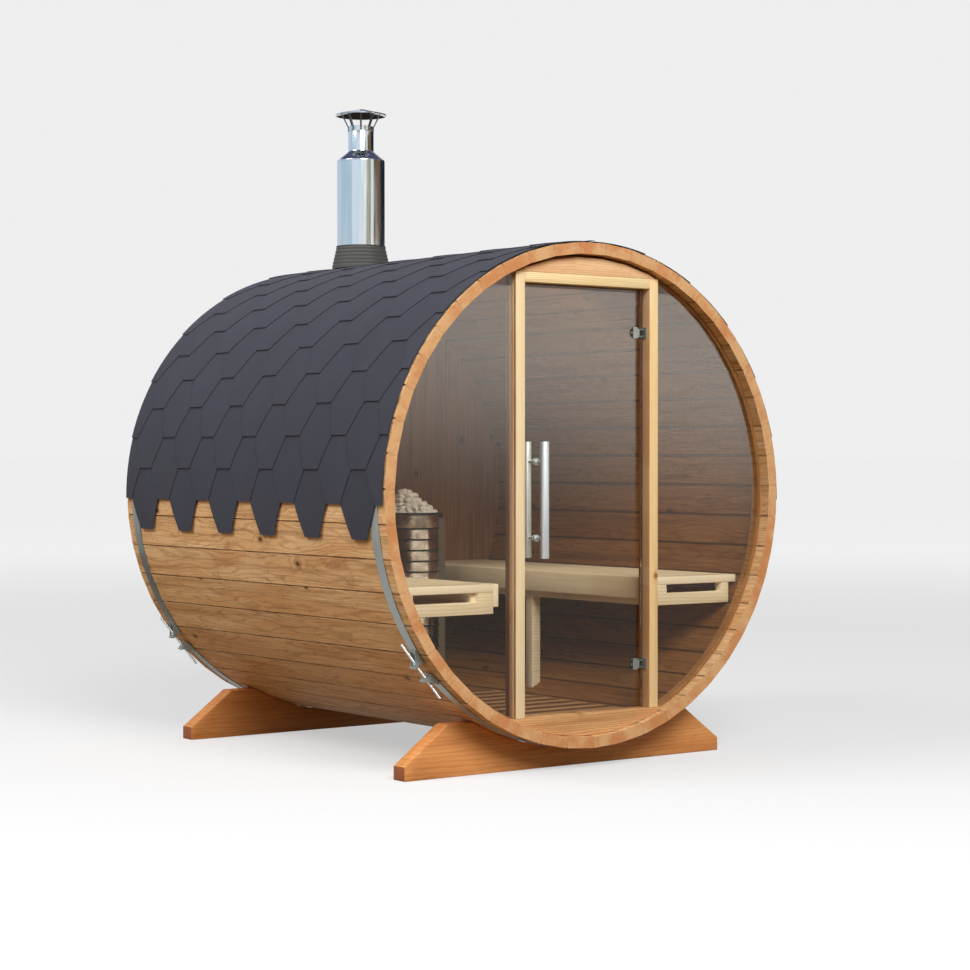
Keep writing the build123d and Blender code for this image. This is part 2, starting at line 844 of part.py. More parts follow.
def roof_boot():
    """Ribbed rubber boot round the pipe, with its foot on the shingles."""
    top = barrel_radius + boot_rise
    step = (top - shingle_radius) / boot_ribs
    boot = upright(boot_foot_radius, chimney_depth, barrel_radius - boot_foot_radius, shingle_radius + step)
    for rib in range(1, boot_ribs):
        radius = boot_foot_radius - (boot_foot_radius - boot_head_radius) * rib / (boot_ribs - 1)
        bottom = shingle_radius + rib * step
        boot += upright(radius, chimney_depth, bottom, bottom + step)
    boot -= upright(chimney_radius + seat_gap, chimney_depth, 0, top + overcut)
    roof_start = chimney_depth - 2 * boot_foot_radius
    roof_end = chimney_depth + 2 * boot_foot_radius
    return boot - along_y(Circle(shingle_radius), roof_start, roof_end)


def chimney_pipe():
    """Insulated length through the roof."""
    pipe = upright(chimney_radius, chimney_depth, chimney_bottom, chimney_top)
    return pipe - upright(flue_radius, chimney_depth, chimney_bottom - overcut, chimney_top + overcut)


reducer_top = chimney_top + reducer_height
pipe_end = reducer_top + top_pipe_height


def chimney_head():
    """Cone that closes the insulated length, and the bare pipe above it."""
    inside = flue_radius - flue_wall
    foot = chimney_top + seat_gap
    profile = make_face(Polyline(
        (inside, foot), (chimney_radius, foot), (chimney_radius, chimney_top + reducer_rim),
        (flue_radius + reducer_wall, reducer_top), (flue_radius, reducer_top), (flue_radius, pipe_end),
        (inside, pipe_end), close=True))
    return Pos(0, front_y + chimney_depth, 0) * revolve(Plane.XZ * profile, axis=Axis.Z)


def rain_cap():
    """Low cone on slanted struts, which stand on the pipe's collar."""
    brim = pipe_end + cap_gap
    apex = brim + cap_height
    profile = make_face(Polyline(
        (0, apex - cap_wall), (cap_radius, brim - cap_lip), (cap_radius, brim), (0, apex), close=True))
    cap = revolve(Plane.XZ * profile, axis=Axis.Z)
    sleeve = Circle(flue_radius + collar_thickness) - Circle(flue_radius + seat_gap)
    cap += extrude(Plane.XY.offset(pipe_end - collar_height) * sleeve, amount=collar_height)
    foot = Vector(flue_radius + collar_thickness - overcut, 0, pipe_end - strut_foot_drop)
    reach = cap_radius - strut_inset
    underside = apex - cap_wall - (cap_height + cap_lip - cap_wall) * reach / cap_radius
    head = Vector(reach, 0, underside + overcut)
    plane = Plane(origin=foot, x_dir=(0, 1, 0), z_dir=(head - foot).normalized())
    strut = extrude(plane * Rectangle(strut_width, strut_thickness), amount=(head - foot).length)
    for number in range(strut_count):
        cap += Rot(0, 0, number * 360 / strut_count) * strut
    return Pos(0, front_y + chimney_depth, 0) * cap


def write_chimney():
    write("roof_boot", roof_boot())
    write("chimney_pipe", chimney_pipe())
    write("chimney_head", chimney_head())
    write("rain_cap", rain_cap())


os.makedirs("parts", exist_ok=True)
write_staves()
write_cradles()
write_hoops()
write_shingles()
write_front_frame()
write_panes()
write_door()
write_back_wall()
write_duckboard()
write_benches()
write_stove()
write_chimney()
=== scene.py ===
import bmesh
import bpy
import math
import random
from mathutils import Matrix, Vector


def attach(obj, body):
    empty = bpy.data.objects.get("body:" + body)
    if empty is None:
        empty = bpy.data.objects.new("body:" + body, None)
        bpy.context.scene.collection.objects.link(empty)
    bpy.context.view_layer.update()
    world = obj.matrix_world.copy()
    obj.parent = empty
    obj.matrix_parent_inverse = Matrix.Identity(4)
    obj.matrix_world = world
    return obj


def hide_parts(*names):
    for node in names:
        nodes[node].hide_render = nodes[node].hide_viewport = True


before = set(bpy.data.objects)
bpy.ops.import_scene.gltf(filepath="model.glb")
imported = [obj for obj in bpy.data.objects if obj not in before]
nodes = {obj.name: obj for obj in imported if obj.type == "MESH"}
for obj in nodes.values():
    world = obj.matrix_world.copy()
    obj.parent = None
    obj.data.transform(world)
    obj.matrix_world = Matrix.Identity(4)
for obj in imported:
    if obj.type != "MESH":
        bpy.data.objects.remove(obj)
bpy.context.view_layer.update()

# Barrel staves
# 47 thermally toned softwood staves, planed flat, with a bead on one edge that seats in the next
# stave's cove. Two hoops pull them into a ring. The outside is oiled warm brown, the sawn ends
# are pale, and the inside is plain dark timber, darkened further with painted shade.

AXIS_HEIGHT = 1.084
STAVE_COUNT = 47
BARREL_RADIUS = 1.0
STAVE_PITCH = 2 * math.pi / STAVE_COUNT


def tone(red, green, blue):
    """A colour given as it looks on a screen, 0 to 255, made linear."""
    linear = []
    for part in (red, green, blue):
        share = part / 255
        linear.append(share / 12.92 if share < 0.04045 else ((share + 0.055) / 1.055) ** 2.4)
    return (*linear, 1.0)


class Finish:
    """A node material, with short calls for the nodes that the finishes use."""

    def __init__(self, name):
        self.material = bpy.data.materials.new(name)
        self.material.use_nodes = True
        self.tree = self.material.node_tree
        self.tree.nodes.clear()
        self.out = self.tree.nodes.new("ShaderNodeOutputMaterial")
        self.skin = self.tree.nodes.new("ShaderNodeBsdfPrincipled")
        self.tree.links.new(self.skin.outputs[0], self.out.inputs[0])
        self.place = self.tree.nodes.new("ShaderNodeTexCoord")
        self.here = self.place.outputs["Object"]
        split = self.add("SeparateXYZ", self.here)
        self.x, self.y, self.z = split.outputs

    def add(self, kind, *feeds, **settings):
        node = self.tree.nodes.new("ShaderNode" + kind)
        for key, value in settings.items():
            setattr(node, key, value)
        for socket, feed in zip(node.inputs, feeds):
            self.feed(socket, feed)
        return node

    def feed(self, socket, feed):
        if isinstance(feed, bpy.types.NodeSocket):
            self.tree.links.new(feed, socket)
        elif feed is not None:
            socket.default_value = feed

    def calc(self, operation, *feeds):
        return self.add("Math", *feeds, operation=operation).outputs[0]

    def plus(self, first, second):
        return self.calc("ADD", first, second)

    def minus(self, first, second):
        return self.calc("SUBTRACT", first, second)

    def times(self, first, second):
        return self.calc("MULTIPLY", first, second)

    def scaled(self, value, factor, added):
        return self.calc("MULTIPLY_ADD", value, factor, added)

    def most(self, first, second):
        return self.calc("MAXIMUM", first, second)

    def span(self, value, low, high, start=0.0, end=1.0, smooth=True):
        """Where a value lies between two others, carried over to a second span."""
        style = "SMOOTHSTEP" if smooth else "LINEAR"
        node = self.add("MapRange", value, low, high, start, end, interpolation_type=style)
        return node.outputs[0]

    def point(self, x, y, z):
        return self.add("CombineXYZ", x, y, z).outputs[0]

    def speckle(self, where, scale, detail=3.0, rough=0.55, twist=0.0):
        node = self.add("TexNoise", where)
        node.inputs["Scale"].default_value = scale
        node.inputs["Detail"].default_value = detail
        node.inputs["Roughness"].default_value = rough
        node.inputs["Distortion"].default_value = twist
        return node.outputs["Fac"]

    def chance(self, seed):
        """A random share for each whole number, or for each set of three."""
        if isinstance(seed, tuple):
            node = self.add("TexWhiteNoise", self.point(*seed), noise_dimensions="3D")
        else:
            node = self.add("TexWhiteNoise", seed, noise_dimensions="1D")
        return node.outputs["Value"]

    def blend(self, share, first, second, kind="MIX"):
        node = self.add("Mix", data_type="RGBA", blend_type=kind)
        self.feed(node.inputs[0], share)
        self.feed(node.inputs[6], first)
        self.feed(node.inputs[7], second)
        return node.outputs[2]

    def tinted(self, first, second):
        return self.blend(1.0, first, second, "MULTIPLY")

    def grey(self, level):
        return self.add("CombineColor", level, level, level).outputs[0]

    def relief(self, height, depth, strength=1.0):
        node = self.add("Bump")
        node.inputs["Strength"].default_value = strength
        node.inputs["Distance"].default_value = depth
        self.feed(node.inputs["Height"], height)
        self.feed(self.skin.inputs["Normal"], node.outputs[0])

    def colour(self, socket):
        self.feed(self.skin.inputs["Base Color"], socket)

    def rough(self, socket):
        self.feed(self.skin.inputs["Roughness"], socket)


def timber(finish, across, along, depth, board, tones, ring=0.011, knots=0.4, wave=1.0, ends=None,
           figure=0.5, streaks=0.5, blotches=0.0, patch=None):
    """Sawn softwood: growth lines that arch along the board, fibres, knots and sawn ends."""
    pale, warm, dark, knot_tone = tones
    luck = finish.chance(board)
    second_luck = finish.chance((board, 3.7, 1.9))
    run = finish.plus(along, finish.times(luck, 37.0))

    def drawn_out(width, length, *texture):
        """A speckle of streaks that run along the board, finer with a larger number."""
        where = finish.point(finish.times(across, width), finish.times(run, length),
                             finish.scaled(depth, width, board))
        return finish.speckle(where, 1.0, *texture)

    def spotted(width, length, seed, *texture):
        """A speckle of spots that don't reach into the board."""
        where = finish.point(finish.times(across, width), finish.times(run, length),
                             finish.times(board, seed))
        return finish.speckle(where, 1.0, *texture)

    # knots, one at most in each cell
    cell_width, cell_length = 0.13, 0.19
    cells = finish.point(finish.scaled(across, 1 / cell_width, finish.times(board, 5.3)),
                         finish.times(run, 1 / cell_length), 0.0)
    cell = finish.add("TexVoronoi", cells, voronoi_dimensions="2D", feature="F1")
    cell.inputs["Scale"].default_value = 1.0
    near = cell.outputs["Distance"]
    cell_luck = finish.add("SeparateColor", cell.outputs["Color"]).outputs[0]
    kept = finish.calc("LESS_THAN", cell_luck, knots * 0.5)
    swirl = finish.times(finish.span(near, 0.42, 0.0), kept)
    core = finish.times(finish.span(near, 0.085, 0.05), kept)
    halo = finish.times(finish.span(near, 0.2, 0.06), kept)

    # growth lines about a pith that lies below the board
    centre = finish.scaled(second_luck, 0.09, -0.045)
    offset = finish.minus(across, centre)
    under = finish.scaled(luck, 0.05, 0.012)
    squares = finish.plus(finish.times(offset, offset), finish.times(under, under))
    radius = finish.calc("SQRT", squares)
    drift = finish.speckle(finish.point(finish.times(across, 5.0), run, board), 1.6, 2.0)
    rings = finish.scaled(drift, 4.2 * wave, finish.times(radius, 1 / ring))
    rings = finish.scaled(swirl, 1.6, rings)
    line = finish.calc("SINE", finish.times(rings, 2 * math.pi))
    line = finish.span(line, 0.1, 1.0)

    fibre = drawn_out(110.0, 3.2, 4.0, 0.62)
    cloud = drawn_out(14.0, 1.7, 3.0, 0.6, 0.4)
    streak = drawn_out(34.0, 1.1, 3.0, 0.55, 0.2)
    body = finish.blend(finish.span(cloud, 0.3, 0.7), pale, warm)
    body = finish.blend(finish.times(line, figure), body, dark)
    body = finish.blend(finish.span(streak, 0.52, 0.72, 0.0, streaks), body, dark)
    body = finish.blend(finish.span(fibre, 0.5, 0.78, 0.0, 0.45), body, dark)
    if blotches:
        blotch = spotted(13.0, 3.4, 7.3, 5.0, 0.66, 0.9)
        body = finish.blend(finish.span(blotch, 0.54, 0.72, 0.0, blotches), body, dark)
        fleck = spotted(62.0, 17.0, 3.1, 4.0, 0.7, 0.8)
        body = finish.blend(finish.span(fleck, 0.52, 0.76, 0.0, blotches), body, dark)
    body = finish.blend(finish.times(halo, 0.5), body, dark)
    body = finish.blend(finish.times(core, 0.85), body, knot_tone)

    # each board has its own depth of colour
    shade = finish.scaled(luck, 0.34, 0.80)
    shade_tone = finish.add("CombineColor", shade, shade, finish.times(shade, 0.985)).outputs[0]
    body = finish.tinted(body, shade_tone)

    if ends is not None:
        sawn, sawn_dark, facing_end = ends
        squares = finish.plus(finish.calc("POWER", finish.plus(across, centre), 2.0),
                              finish.calc("POWER", finish.plus(depth, under), 2.0))
        arcs = finish.calc("SQRT", squares)
        arc_pitch = 0.0045
        arcs = finish.scaled(arcs, 2 * math.pi / arc_pitch, finish.times(drift, 9.0))
        arc = finish.calc("SINE", arcs)
        pores = finish.point(finish.times(across, 60.0), along, finish.times(depth, 60.0))
        pores = finish.speckle(pores, 1.0, 4.0, 0.7)
        share = finish.plus(finish.scaled(arc, 0.16, 0.16), finish.span(pores, 0.45, 0.8, 0.0, 0.5))
        cut = finish.blend(share, sawn, sawn_dark)
        if patch is not None:
            where = finish.speckle(finish.here, 7.0, 4.0, 0.6)
            cut = finish.blend(finish.span(where, 0.4, 0.62), cut, finish.tinted(cut, patch))
        cut = finish.tinted(cut, finish.grey(finish.scaled(luck, 0.14, 0.92)))
        body = finish.blend(facing_end, body, cut)
    finish.colour(body)
    finish.relief(finish.scaled(fibre, -0.6, finish.times(line, -0.25)), 0.0007)
    finish.rough(finish.span(fibre, 0.3, 0.7, 0.48, 0.66))
    finish.skin.inputs["Specular IOR Level"].default_value = 0.28
    return body


def facing(finish, axis):
    """1 on faces that look along an axis, and 0 on the others."""
    normal = finish.add("SeparateXYZ", finish.place.outputs["Normal"]).outputs[axis]
    return finish.calc("GREATER_THAN", finish.calc("ABSOLUTE", normal), 0.75)


def ring_place(finish):
    """Where a point lies on its stave: across it, its distance from the axis, and its number."""
    level = finish.minus(finish.z, AXIS_HEIGHT)
    angle = finish.calc("ARCTAN2", finish.x, level)
    number = finish.calc("ROUND", finish.times(angle, 1 / STAVE_PITCH))
    across = finish.scaled(number, -STAVE_PITCH, angle)
    squares = finish.scaled(level, level, finish.times(finish.x, finish.x))
    return across, finish.calc("SQRT", squares), number


stave = Finish("stave timber")
stave_across, stave_out, stave_number = ring_place(stave)
stave_end = facing(stave, 1)
stave_ends = (tone(232, 186, 134), tone(190, 134, 86), stave_end)
stave_tones = (tone(255, 213, 161), tone(234, 181, 125), tone(138, 82, 42), tone(84, 48, 26))
stave_depth = stave.minus(stave_out, BARREL_RADIUS)
wood = timber(stave, stave_across, stave.y, stave_depth, stave_number, stave_tones, knots=0.16,
              ends=stave_ends, wave=2.2, figure=0.27, streaks=0.42, blotches=0.5,
              patch=tone(240, 210, 194))

# the chamfered joints between staves are darker, unevenly so
HALF_PITCH = STAVE_PITCH / 2
side_face = stave.minus(1.0, stave_end)
from_middle = stave.calc("ABSOLUTE", stave_across)
edge_gap = stave.span(from_middle, HALF_PITCH - 0.0055, HALF_PITCH - 0.001)
joint_wear = stave.speckle(stave.here, 9.0, 4.0, 0.7)
joint_depth = stave.times(edge_gap, stave.span(joint_wear, 0.35, 0.65, 0.45, 0.85))
wood = stave.blend(stave.times(joint_depth, side_face), wood, tone(66, 36, 20))

# the tongue that shows at each joint on the sawn ends
TONGUE_RADIUS = 0.9757
TONGUE_HALF_WIDTH = 0.009
TONGUE_REACH = 0.005
tongue = stave.times(stave.plus(stave_out, -TONGUE_RADIUS), 1 / TONGUE_HALF_WIDTH)
tongue = stave.most(stave.minus(1.0, stave.times(tongue, tongue)), 0.0)
joint = stave.scaled(tongue, TONGUE_REACH, stave.plus(stave_across, -HALF_PITCH))
joint_line = stave.span(stave.calc("ABSOLUTE", joint), 0.0013, 0.0004)
other_joint = stave.calc("ABSOLUTE", stave.plus(stave_across, HALF_PITCH))
other_side = stave.span(other_joint, 0.0013, 0.0004)
other_side = stave.times(other_side, stave.calc("LESS_THAN", tongue, 0.001))
joint_line = stave.times(stave.most(joint_line, other_side), stave_end)
wood = stave.blend(stave.times(joint_line, 0.5), wood, tone(110, 62, 34))

# the inner faces between the panes and the back wall stay unoiled and darken with heat, and their
# darker tint also paints the shade inside the closed cabin
inner_face = stave.times(stave.span(stave_out, 0.9592, 0.9578), side_face)
inner_face = stave.times(inner_face, stave.span(stave.calc("ABSOLUTE", stave.y), 0.935, 0.925))
# partly the timber's own darker tone, partly painted shade
inner_wood_and_shade = stave.tinted(wood, tone(148, 128, 102))
inner_joint = stave.span(from_middle, HALF_PITCH - 0.0085, HALF_PITCH - 0.0045)
inner_wood_and_shade = stave.blend(stave.times(inner_joint, 0.55), inner_wood_and_shade, tone(36, 22, 13))
stave.colour(stave.blend(inner_face, wood, inner_wood_and_shade))
stave.skin.inputs["Specular IOR Level"].default_value = 0.13


def dress(finish, *names):
    """Gives CAD nodes a finish."""
    for name in names:
        nodes[name].data.materials.clear()
        nodes[name].data.materials.append(finish.material)


dress(stave, "staves_top", "staves_upper_right", "staves_right", "staves_lower_right",
      "staves_bottom", "staves_lower_left", "staves_left", "staves_upper_left")

# Cradles
# Two planks on edge, cut to the barrel's curve and stained a reddish brown. The barrel rests in
# them by its weight.


def piece(name, mesh, finish, body="sauna", stands_for=(), crease=32.0):
    """Makes a finished piece from its mesh, and hides the CAD nodes that it stands for."""
    data = bpy.data.meshes.new(name)
    mesh.to_mesh(data)
    mesh.free()
    data.shade_smooth()
    data.set_sharp_from_angle(angle=math.radians(crease))
    data.materials.append(finish.material)
    thing = bpy.data.objects.new(name, data)
    bpy.context.scene.collection.objects.link(thing)
    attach(thing, body)
    if stands_for:
        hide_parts(*stands_for)
    return thing


def rounded(mesh, edges, width):
    """Rounds edges over a width."""
    bmesh.ops.bevel(mesh, geom=edges, offset=width, offset_type="OFFSET", affect="EDGES",
                    segments=2, profile=0.5, material=-1, clamp_overlap=True)


def eased(finish, width, *names):
    """Stands for timbers with copies whose sawn edges are planed round."""
    for name in names:
        mesh = bmesh.new()
        mesh.from_mesh(nodes[name].data)
        bmesh.ops.remove_doubles(mesh, verts=mesh.verts, dist=1e-5)
        bmesh.ops.dissolve_limit(mesh, angle_limit=math.radians(0.4), verts=mesh.verts,
                                 edges=mesh.edges)
        sharp = [edge for edge in mesh.edges
                 if len(edge.link_faces) == 2 and edge.calc_face_angle(0.0) > math.radians(28)]
        rounded(mesh, sharp, width)
        piece("planed_" + name, mesh, finish, stands_for=(name,), crease=50.0)


cradle_finish = Finish("cradle timber")
cradle_ends = (tone(170, 100, 62), tone(120, 66, 40), facing(cradle_finish, 0))
timber(cradle_finish, cradle_finish.z, cradle_finish.x, cradle_finish.y,
       cradle_finish.calc("ROUND", cradle_finish.y),
       (tone(236, 164, 98), tone(220, 144, 80), tone(162, 93, 47), tone(104, 56, 30)),
       ring=0.016, knots=0.08, wave=0.6, ends=cradle_ends, figure=0.18, streaks=0.3, blotches=0.3)
eased(cradle_finish, 0.003, "front_cradle", "rear_cradle")

# Hoops and tensioners
# Flat galvanised bands round the barrel under the shingles. Each has two folded lugs low on the
# left, drawn together by a threaded rod with a nut behind each lug.

hoop_finish = Finish("galvanised band")
spangle = hoop_finish.add("TexVoronoi", hoop_finish.here, voronoi_dimensions="3D")
spangle.inputs["Scale"].default_value = 90.0
hoop_cloud = hoop_finish.speckle(hoop_finish.here, 7.0, 4.0)
hoop_share = hoop_finish.times(hoop_cloud, 0.7)
hoop_share = hoop_finish.scaled(spangle.outputs["Distance"], 0.35, hoop_share)
hoop_finish.colour(hoop_finish.blend(hoop_share, tone(140, 148, 146), tone(178, 186, 184)))
hoop_finish.skin.inputs["Metallic"].default_value = 0.5
hoop_finish.rough(hoop_finish.span(hoop_cloud, 0.3, 0.7, 0.34, 0.5))
hoop_finish.relief(spangle.outputs["Distance"], 0.0003, 0.5)
dress(hoop_finish, "front_hoop", "rear_hoop")


def turned(outline, steps=48, closed=False):
    """A turned form: its half section, as radius and height, spun about the upright axis."""
    mesh = bmesh.new()
    points = [mesh.verts.new((radius, 0.0, height)) for radius, height in outline]
    edges = [mesh.edges.new(pair) for pair in zip(points, points[1:])]
    if closed:
        edges.append(mesh.edges.new((points[-1], points[0])))
    bmesh.ops.spin(mesh, geom=points + edges, cent=(0, 0, 0), axis=(0, 0, 1), dvec=(0, 0, 0),
                   angle=2 * math.pi, steps=steps, space=Matrix.Identity(4), use_merge=True)
    bmesh.ops.remove_doubles(mesh, verts=mesh.verts, dist=1e-6)
    bmesh.ops.recalc_face_normals(mesh, faces=mesh.faces)
    return mesh


def join(whole, form, *places):
    """Adds a form to a piece, once at each place."""
    data = bpy.data.meshes.new("form")
    form.to_mesh(data)
    form.free()
    for place in places:
        copy = data.copy()
        copy.transform(place)
        whole.from_mesh(copy)
        bpy.data.meshes.remove(copy)
    bpy.data.meshes.remove(data)


def pointed(place, direction):
    """The place of a form that was made upright at the origin, laid along a direction."""
    turn = Vector(direction).to_track_quat("Z", "Y").to_matrix().to_4x4()
    return Matrix.Translation(place) @ turn


def worn(name, scale, first, second, rough, detail=4.0, grit=0.55, metallic=0.0, relief=None):
    """A finish whose colour and gloss follow one fine speckle."""
    finish = Finish(name)
    wear = finish.speckle(finish.here, scale, detail, grit)
    finish.colour(finish.blend(wear, first, second))
    finish.rough(finish.span(wear, 0.3, 0.7, *rough))
    finish.skin.inputs["Metallic"].default_value = metallic
    if relief is not None:
        finish.relief(wear, *relief)
    return finish


ROD_TURN = math.radians(220)
ROD_HALF = 0.14
ROD_DISTANCE = 1.0245
HOOP_DISTANCE = 0.927
LUG_FACE = 0.0334
NUT_MIDDLE = 0.0415
THREAD_STEP = 0.0008
THREAD_STEPS = 348
thread = [(0.0, -ROD_HALF), (0.0042, -ROD_HALF)]
for number in range(THREAD_STEPS):
    crest = 0.0050 if number % 2 else 0.0045
    thread.append((crest, -ROD_HALF + 0.001 + number * THREAD_STEP))
thread += [(0.0042, ROD_HALF), (0.0, ROD_HALF)]
rods = bmesh.new()
rod_places = []
nut_places = []
washer_places = []
rod_run = Vector((-math.sin(ROD_TURN), 0.0, math.cos(ROD_TURN)))
for rod_y in (-HOOP_DISTANCE, HOOP_DISTANCE):
    rod_middle = Vector((ROD_DISTANCE * math.cos(ROD_TURN), rod_y,
                         AXIS_HEIGHT + ROD_DISTANCE * math.sin(ROD_TURN)))
    rod_places.append(pointed(rod_middle, rod_run))
    for side in (-1, 1):
        washer_places.append(pointed(rod_middle + rod_run * side * LUG_FACE, rod_run * side))
        nut_places.append(pointed(rod_middle + rod_run * side * NUT_MIDDLE, rod_run * side))
join(rods, turned(thread, steps=14), *rod_places)
nut = bmesh.new()
bmesh.ops.create_cone(nut, cap_ends=True, segments=6, radius1=0.0098, radius2=0.0098, depth=0.009)
rounded(nut, nut.edges, 0.0007)
join(rods, nut, *nut_places)
washer = [(0.0055, 0.0), (0.0108, 0.0), (0.0112, 0.0004), (0.0112, 0.0016), (0.0108, 0.002),
          (0.0090, 0.002), (0.0088, 0.0034), (0.0055, 0.0034)]
join(rods, turned(washer, steps=32, closed=True), *washer_places)
rod_finish = worn("zinc plated steel", 60.0, tone(186, 190, 190), tone(226, 228, 224), (0.24, 0.4),
                  metallic=0.9)
piece("tension_rods", rods, rod_finish, stands_for=("hoop_tensioners",))

# Shingles
# Strips of bitumen felt faced with charcoal granules, nailed from the eaves up. Each strip has
# tabs with slanted sides, and each course laps the one below, half a tab on.

COURSE_ANGLE = math.radians(7.56)
EAVE_ANGLE = math.radians(9.1)
TAB_PITCH = 1.984 / 6
TAB_FOOT = 0.1

felt = Finish("granule shingle")
felt_level = felt.minus(felt.z, AXIS_HEIGHT)
felt_angle = felt.calc("ARCTAN2", felt_level, felt.calc("ABSOLUTE", felt.x))
course_place = felt.scaled(felt_angle, 1 / COURSE_ANGLE, EAVE_ANGLE / COURSE_ANGLE)
course_number = felt.calc("MINIMUM", felt.calc("FLOOR", course_place), 12.0)
course_rise = felt.minus(course_place, course_number)


def nearest_gap(number):
    """How far the middle of the nearest gap between a course's tabs is, and the gap's number."""
    stagger = felt.times(felt.calc("MODULO", number, 2.0), 0.5)
    step = felt.minus(felt.scaled(felt.y, 1 / TAB_PITCH, 0.992 / TAB_PITCH), stagger)
    share = felt.calc("FRACT", felt.plus(step, 8.0))
    reach = felt.times(felt.calc("MINIMUM", share, felt.minus(1.0, share)), TAB_PITCH)
    return reach, felt.calc("FLOOR", felt.plus(step, 8.5))


gap_reach, gap_number = nearest_gap(course_number)
half_gap = felt.scaled(course_rise, TAB_FOOT - TAB_PITCH / 2, (TAB_PITCH - TAB_FOOT) / 2)
inside_tab = felt.minus(gap_reach, half_gap)
on_tab = felt.calc("GREATER_THAN", inside_tab, 0.0)

# painted shadow lines beside the tabs, under the feet of the next course, and at the head of each
# gap, where the tab above shades the felt
side_shadow = felt.times(felt.span(inside_tab, -0.011, -0.001), felt.minus(1.0, on_tab))
below_reach = nearest_gap(felt.plus(course_number, 1.0))[0]
under_foot = felt.calc("GREATER_THAN", below_reach, (TAB_PITCH - TAB_FOOT) / 2)
foot_shadow = felt.times(felt.span(course_rise, 0.9, 0.985), under_foot)
in_gap = felt.minus(1.0, on_tab)
head_shadow = felt.times(felt.span(course_rise, 0.9, 0.985), in_gap)
edge_shadow = felt.most(felt.times(side_shadow, 0.6), felt.most(foot_shadow, head_shadow))
shown_course = felt.minus(course_number, in_gap)
lower_gap = nearest_gap(felt.minus(course_number, 1.0))[1]
shown_gap = felt.plus(felt.times(on_tab, gap_number), felt.times(in_gap, lower_gap))
side_sign = felt.calc("SIGN", felt.x)

# the colour varies a little from course to course and from half tab to half tab
tab_luck = felt.chance((shown_course, shown_gap, side_sign))
granules = felt.speckle(felt.here, 420.0, 2.0, 0.7)
patches = felt.speckle(felt.here, 4.5, 4.0, 0.6)
shingle_body = felt.blend(felt.span(granules, 0.32, 0.68), tone(23, 23, 33), tone(49, 50, 67))
shingle_body = felt.blend(felt.span(patches, 0.35, 0.7, 0.0, 0.35), shingle_body, tone(40, 38, 44))
shingle_body = felt.tinted(shingle_body, felt.grey(felt.scaled(tab_luck, 0.24, 0.88)))
# painted shadow: the tabs' edge lines are darkened towards near black
shingle_body = felt.blend(felt.times(edge_shadow, 0.8), shingle_body, tone(20, 20, 24))
felt.colour(shingle_body)
felt.rough(felt.span(granules, 0.3, 0.7, 0.72, 0.92))
felt.relief(granules, 0.0012, 0.8)
felt.skin.inputs["Sheen Weight"].default_value = 0.28
felt.skin.inputs["Sheen Roughness"].default_value = 0.35
felt.skin.inputs["Sheen Tint"].default_value = (0.8, 0.8, 0.92, 1.0)
dress(felt, "shingles_left", "shingles_right", "ridge_cap")

# Door frame
# Planed pine, clear oiled: two posts, the right one of a warmer board, a lintel across them, a
# header above it that fills the crown, and a sill below. Dark beads hold the panes.


def board_frame(name, tones, ends, across, along, depth, number=None, inside=None, **looks):
    """A timber finish for straight pieces, named by the axes that the board lies along. An inside
    tone paints shade on the parts behind the glass.
    """
    finish = Finish(name)
    axes = {"x": finish.x, "y": finish.y, "z": finish.z}
    sawn = None if ends is None else (*ends, facing(finish, "xyz".index(along)))
    if number is None:
        board = finish.plus(1.0, 0.0)
    else:
        axis, pitch = number
        board = finish.calc("ROUND", finish.times(axes[axis], 1 / pitch))
    body = timber(finish, axes[across], axes[along], axes[depth], board, tones, ends=sawn, **looks)
    if inside is not None:
        # painted shade: everything behind the glass plane is tinted darker, for the shade inside
        # the cabin
        painted_shade_behind_glass = finish.span(finish.y, -0.932, -0.92)
        finish.colour(finish.blend(painted_shade_behind_glass, body, finish.tinted(body, inside)))
    return finish


PLANED_EDGE = 0.0022
pine = (tone(254, 238, 201), tone(250, 226, 180), tone(222, 174, 118), tone(158, 104, 60))
pine_ends = (tone(240, 204, 158), tone(204, 156, 106))
warm_pine = (tone(255, 229, 177), tone(252, 217, 158), tone(224, 168, 106), tone(158, 104, 60))
# the posts' inside tone is painted shade behind the glass
for post_name, post_tones in (("left_post", pine), ("right_post", warm_pine)):
    post_finish = board_frame(post_name + "_pine", post_tones, pine_ends, "x", "z", "y",
                              ("x", 0.5), ring=0.008, knots=0.06, figure=0.35,
                              inside=tone(152, 132, 114))
    post_body = post_finish.skin.inputs["Base Color"].links[0].from_socket
    # painted shade: the posts' side faces, which look along x, are darkened
    post_side_shade = post_finish.tinted(post_body, tone(212, 196, 198))
    post_finish.colour(post_finish.blend(facing(post_finish, 0), post_body, post_side_shade))
    eased(post_finish, PLANED_EDGE, post_name)
lintel_tones = (tone(255, 240, 190), tone(252, 224, 168), tone(212, 160, 104), tone(158, 104, 60))
# the lintel's inside tone is painted shade on its stop behind the glass
lintel_finish = board_frame("lintel pine", lintel_tones, pine_ends, "z", "x", "y", ring=0.008,
                            knots=0.05, figure=0.35, inside=tone(128, 108, 92))
eased(lintel_finish, PLANED_EDGE, "lintel")
header_tones = (tone(244, 204, 158), tone(236, 186, 136), tone(206, 146, 98), tone(146, 90, 54))
header_finish = board_frame("header pine", header_tones, pine_ends, "z", "x", "y", ring=0.01,
                            knots=0.2, figure=0.4, blotches=0.35)
eased(header_finish, PLANED_EDGE, "header")
sill_tones = (tone(234, 186, 132), tone(220, 168, 112), tone(172, 116, 70), tone(120, 76, 44))
sill_finish = board_frame("sill pine", sill_tones, pine_ends, "z", "x", "y", ring=0.01,
                          knots=0.25, blotches=0.4)
eased(sill_finish, PLANED_EDGE, "sill")
bead_tones = (tone(176, 130, 84), tone(156, 112, 70), tone(112, 74, 44), tone(80, 50, 30))
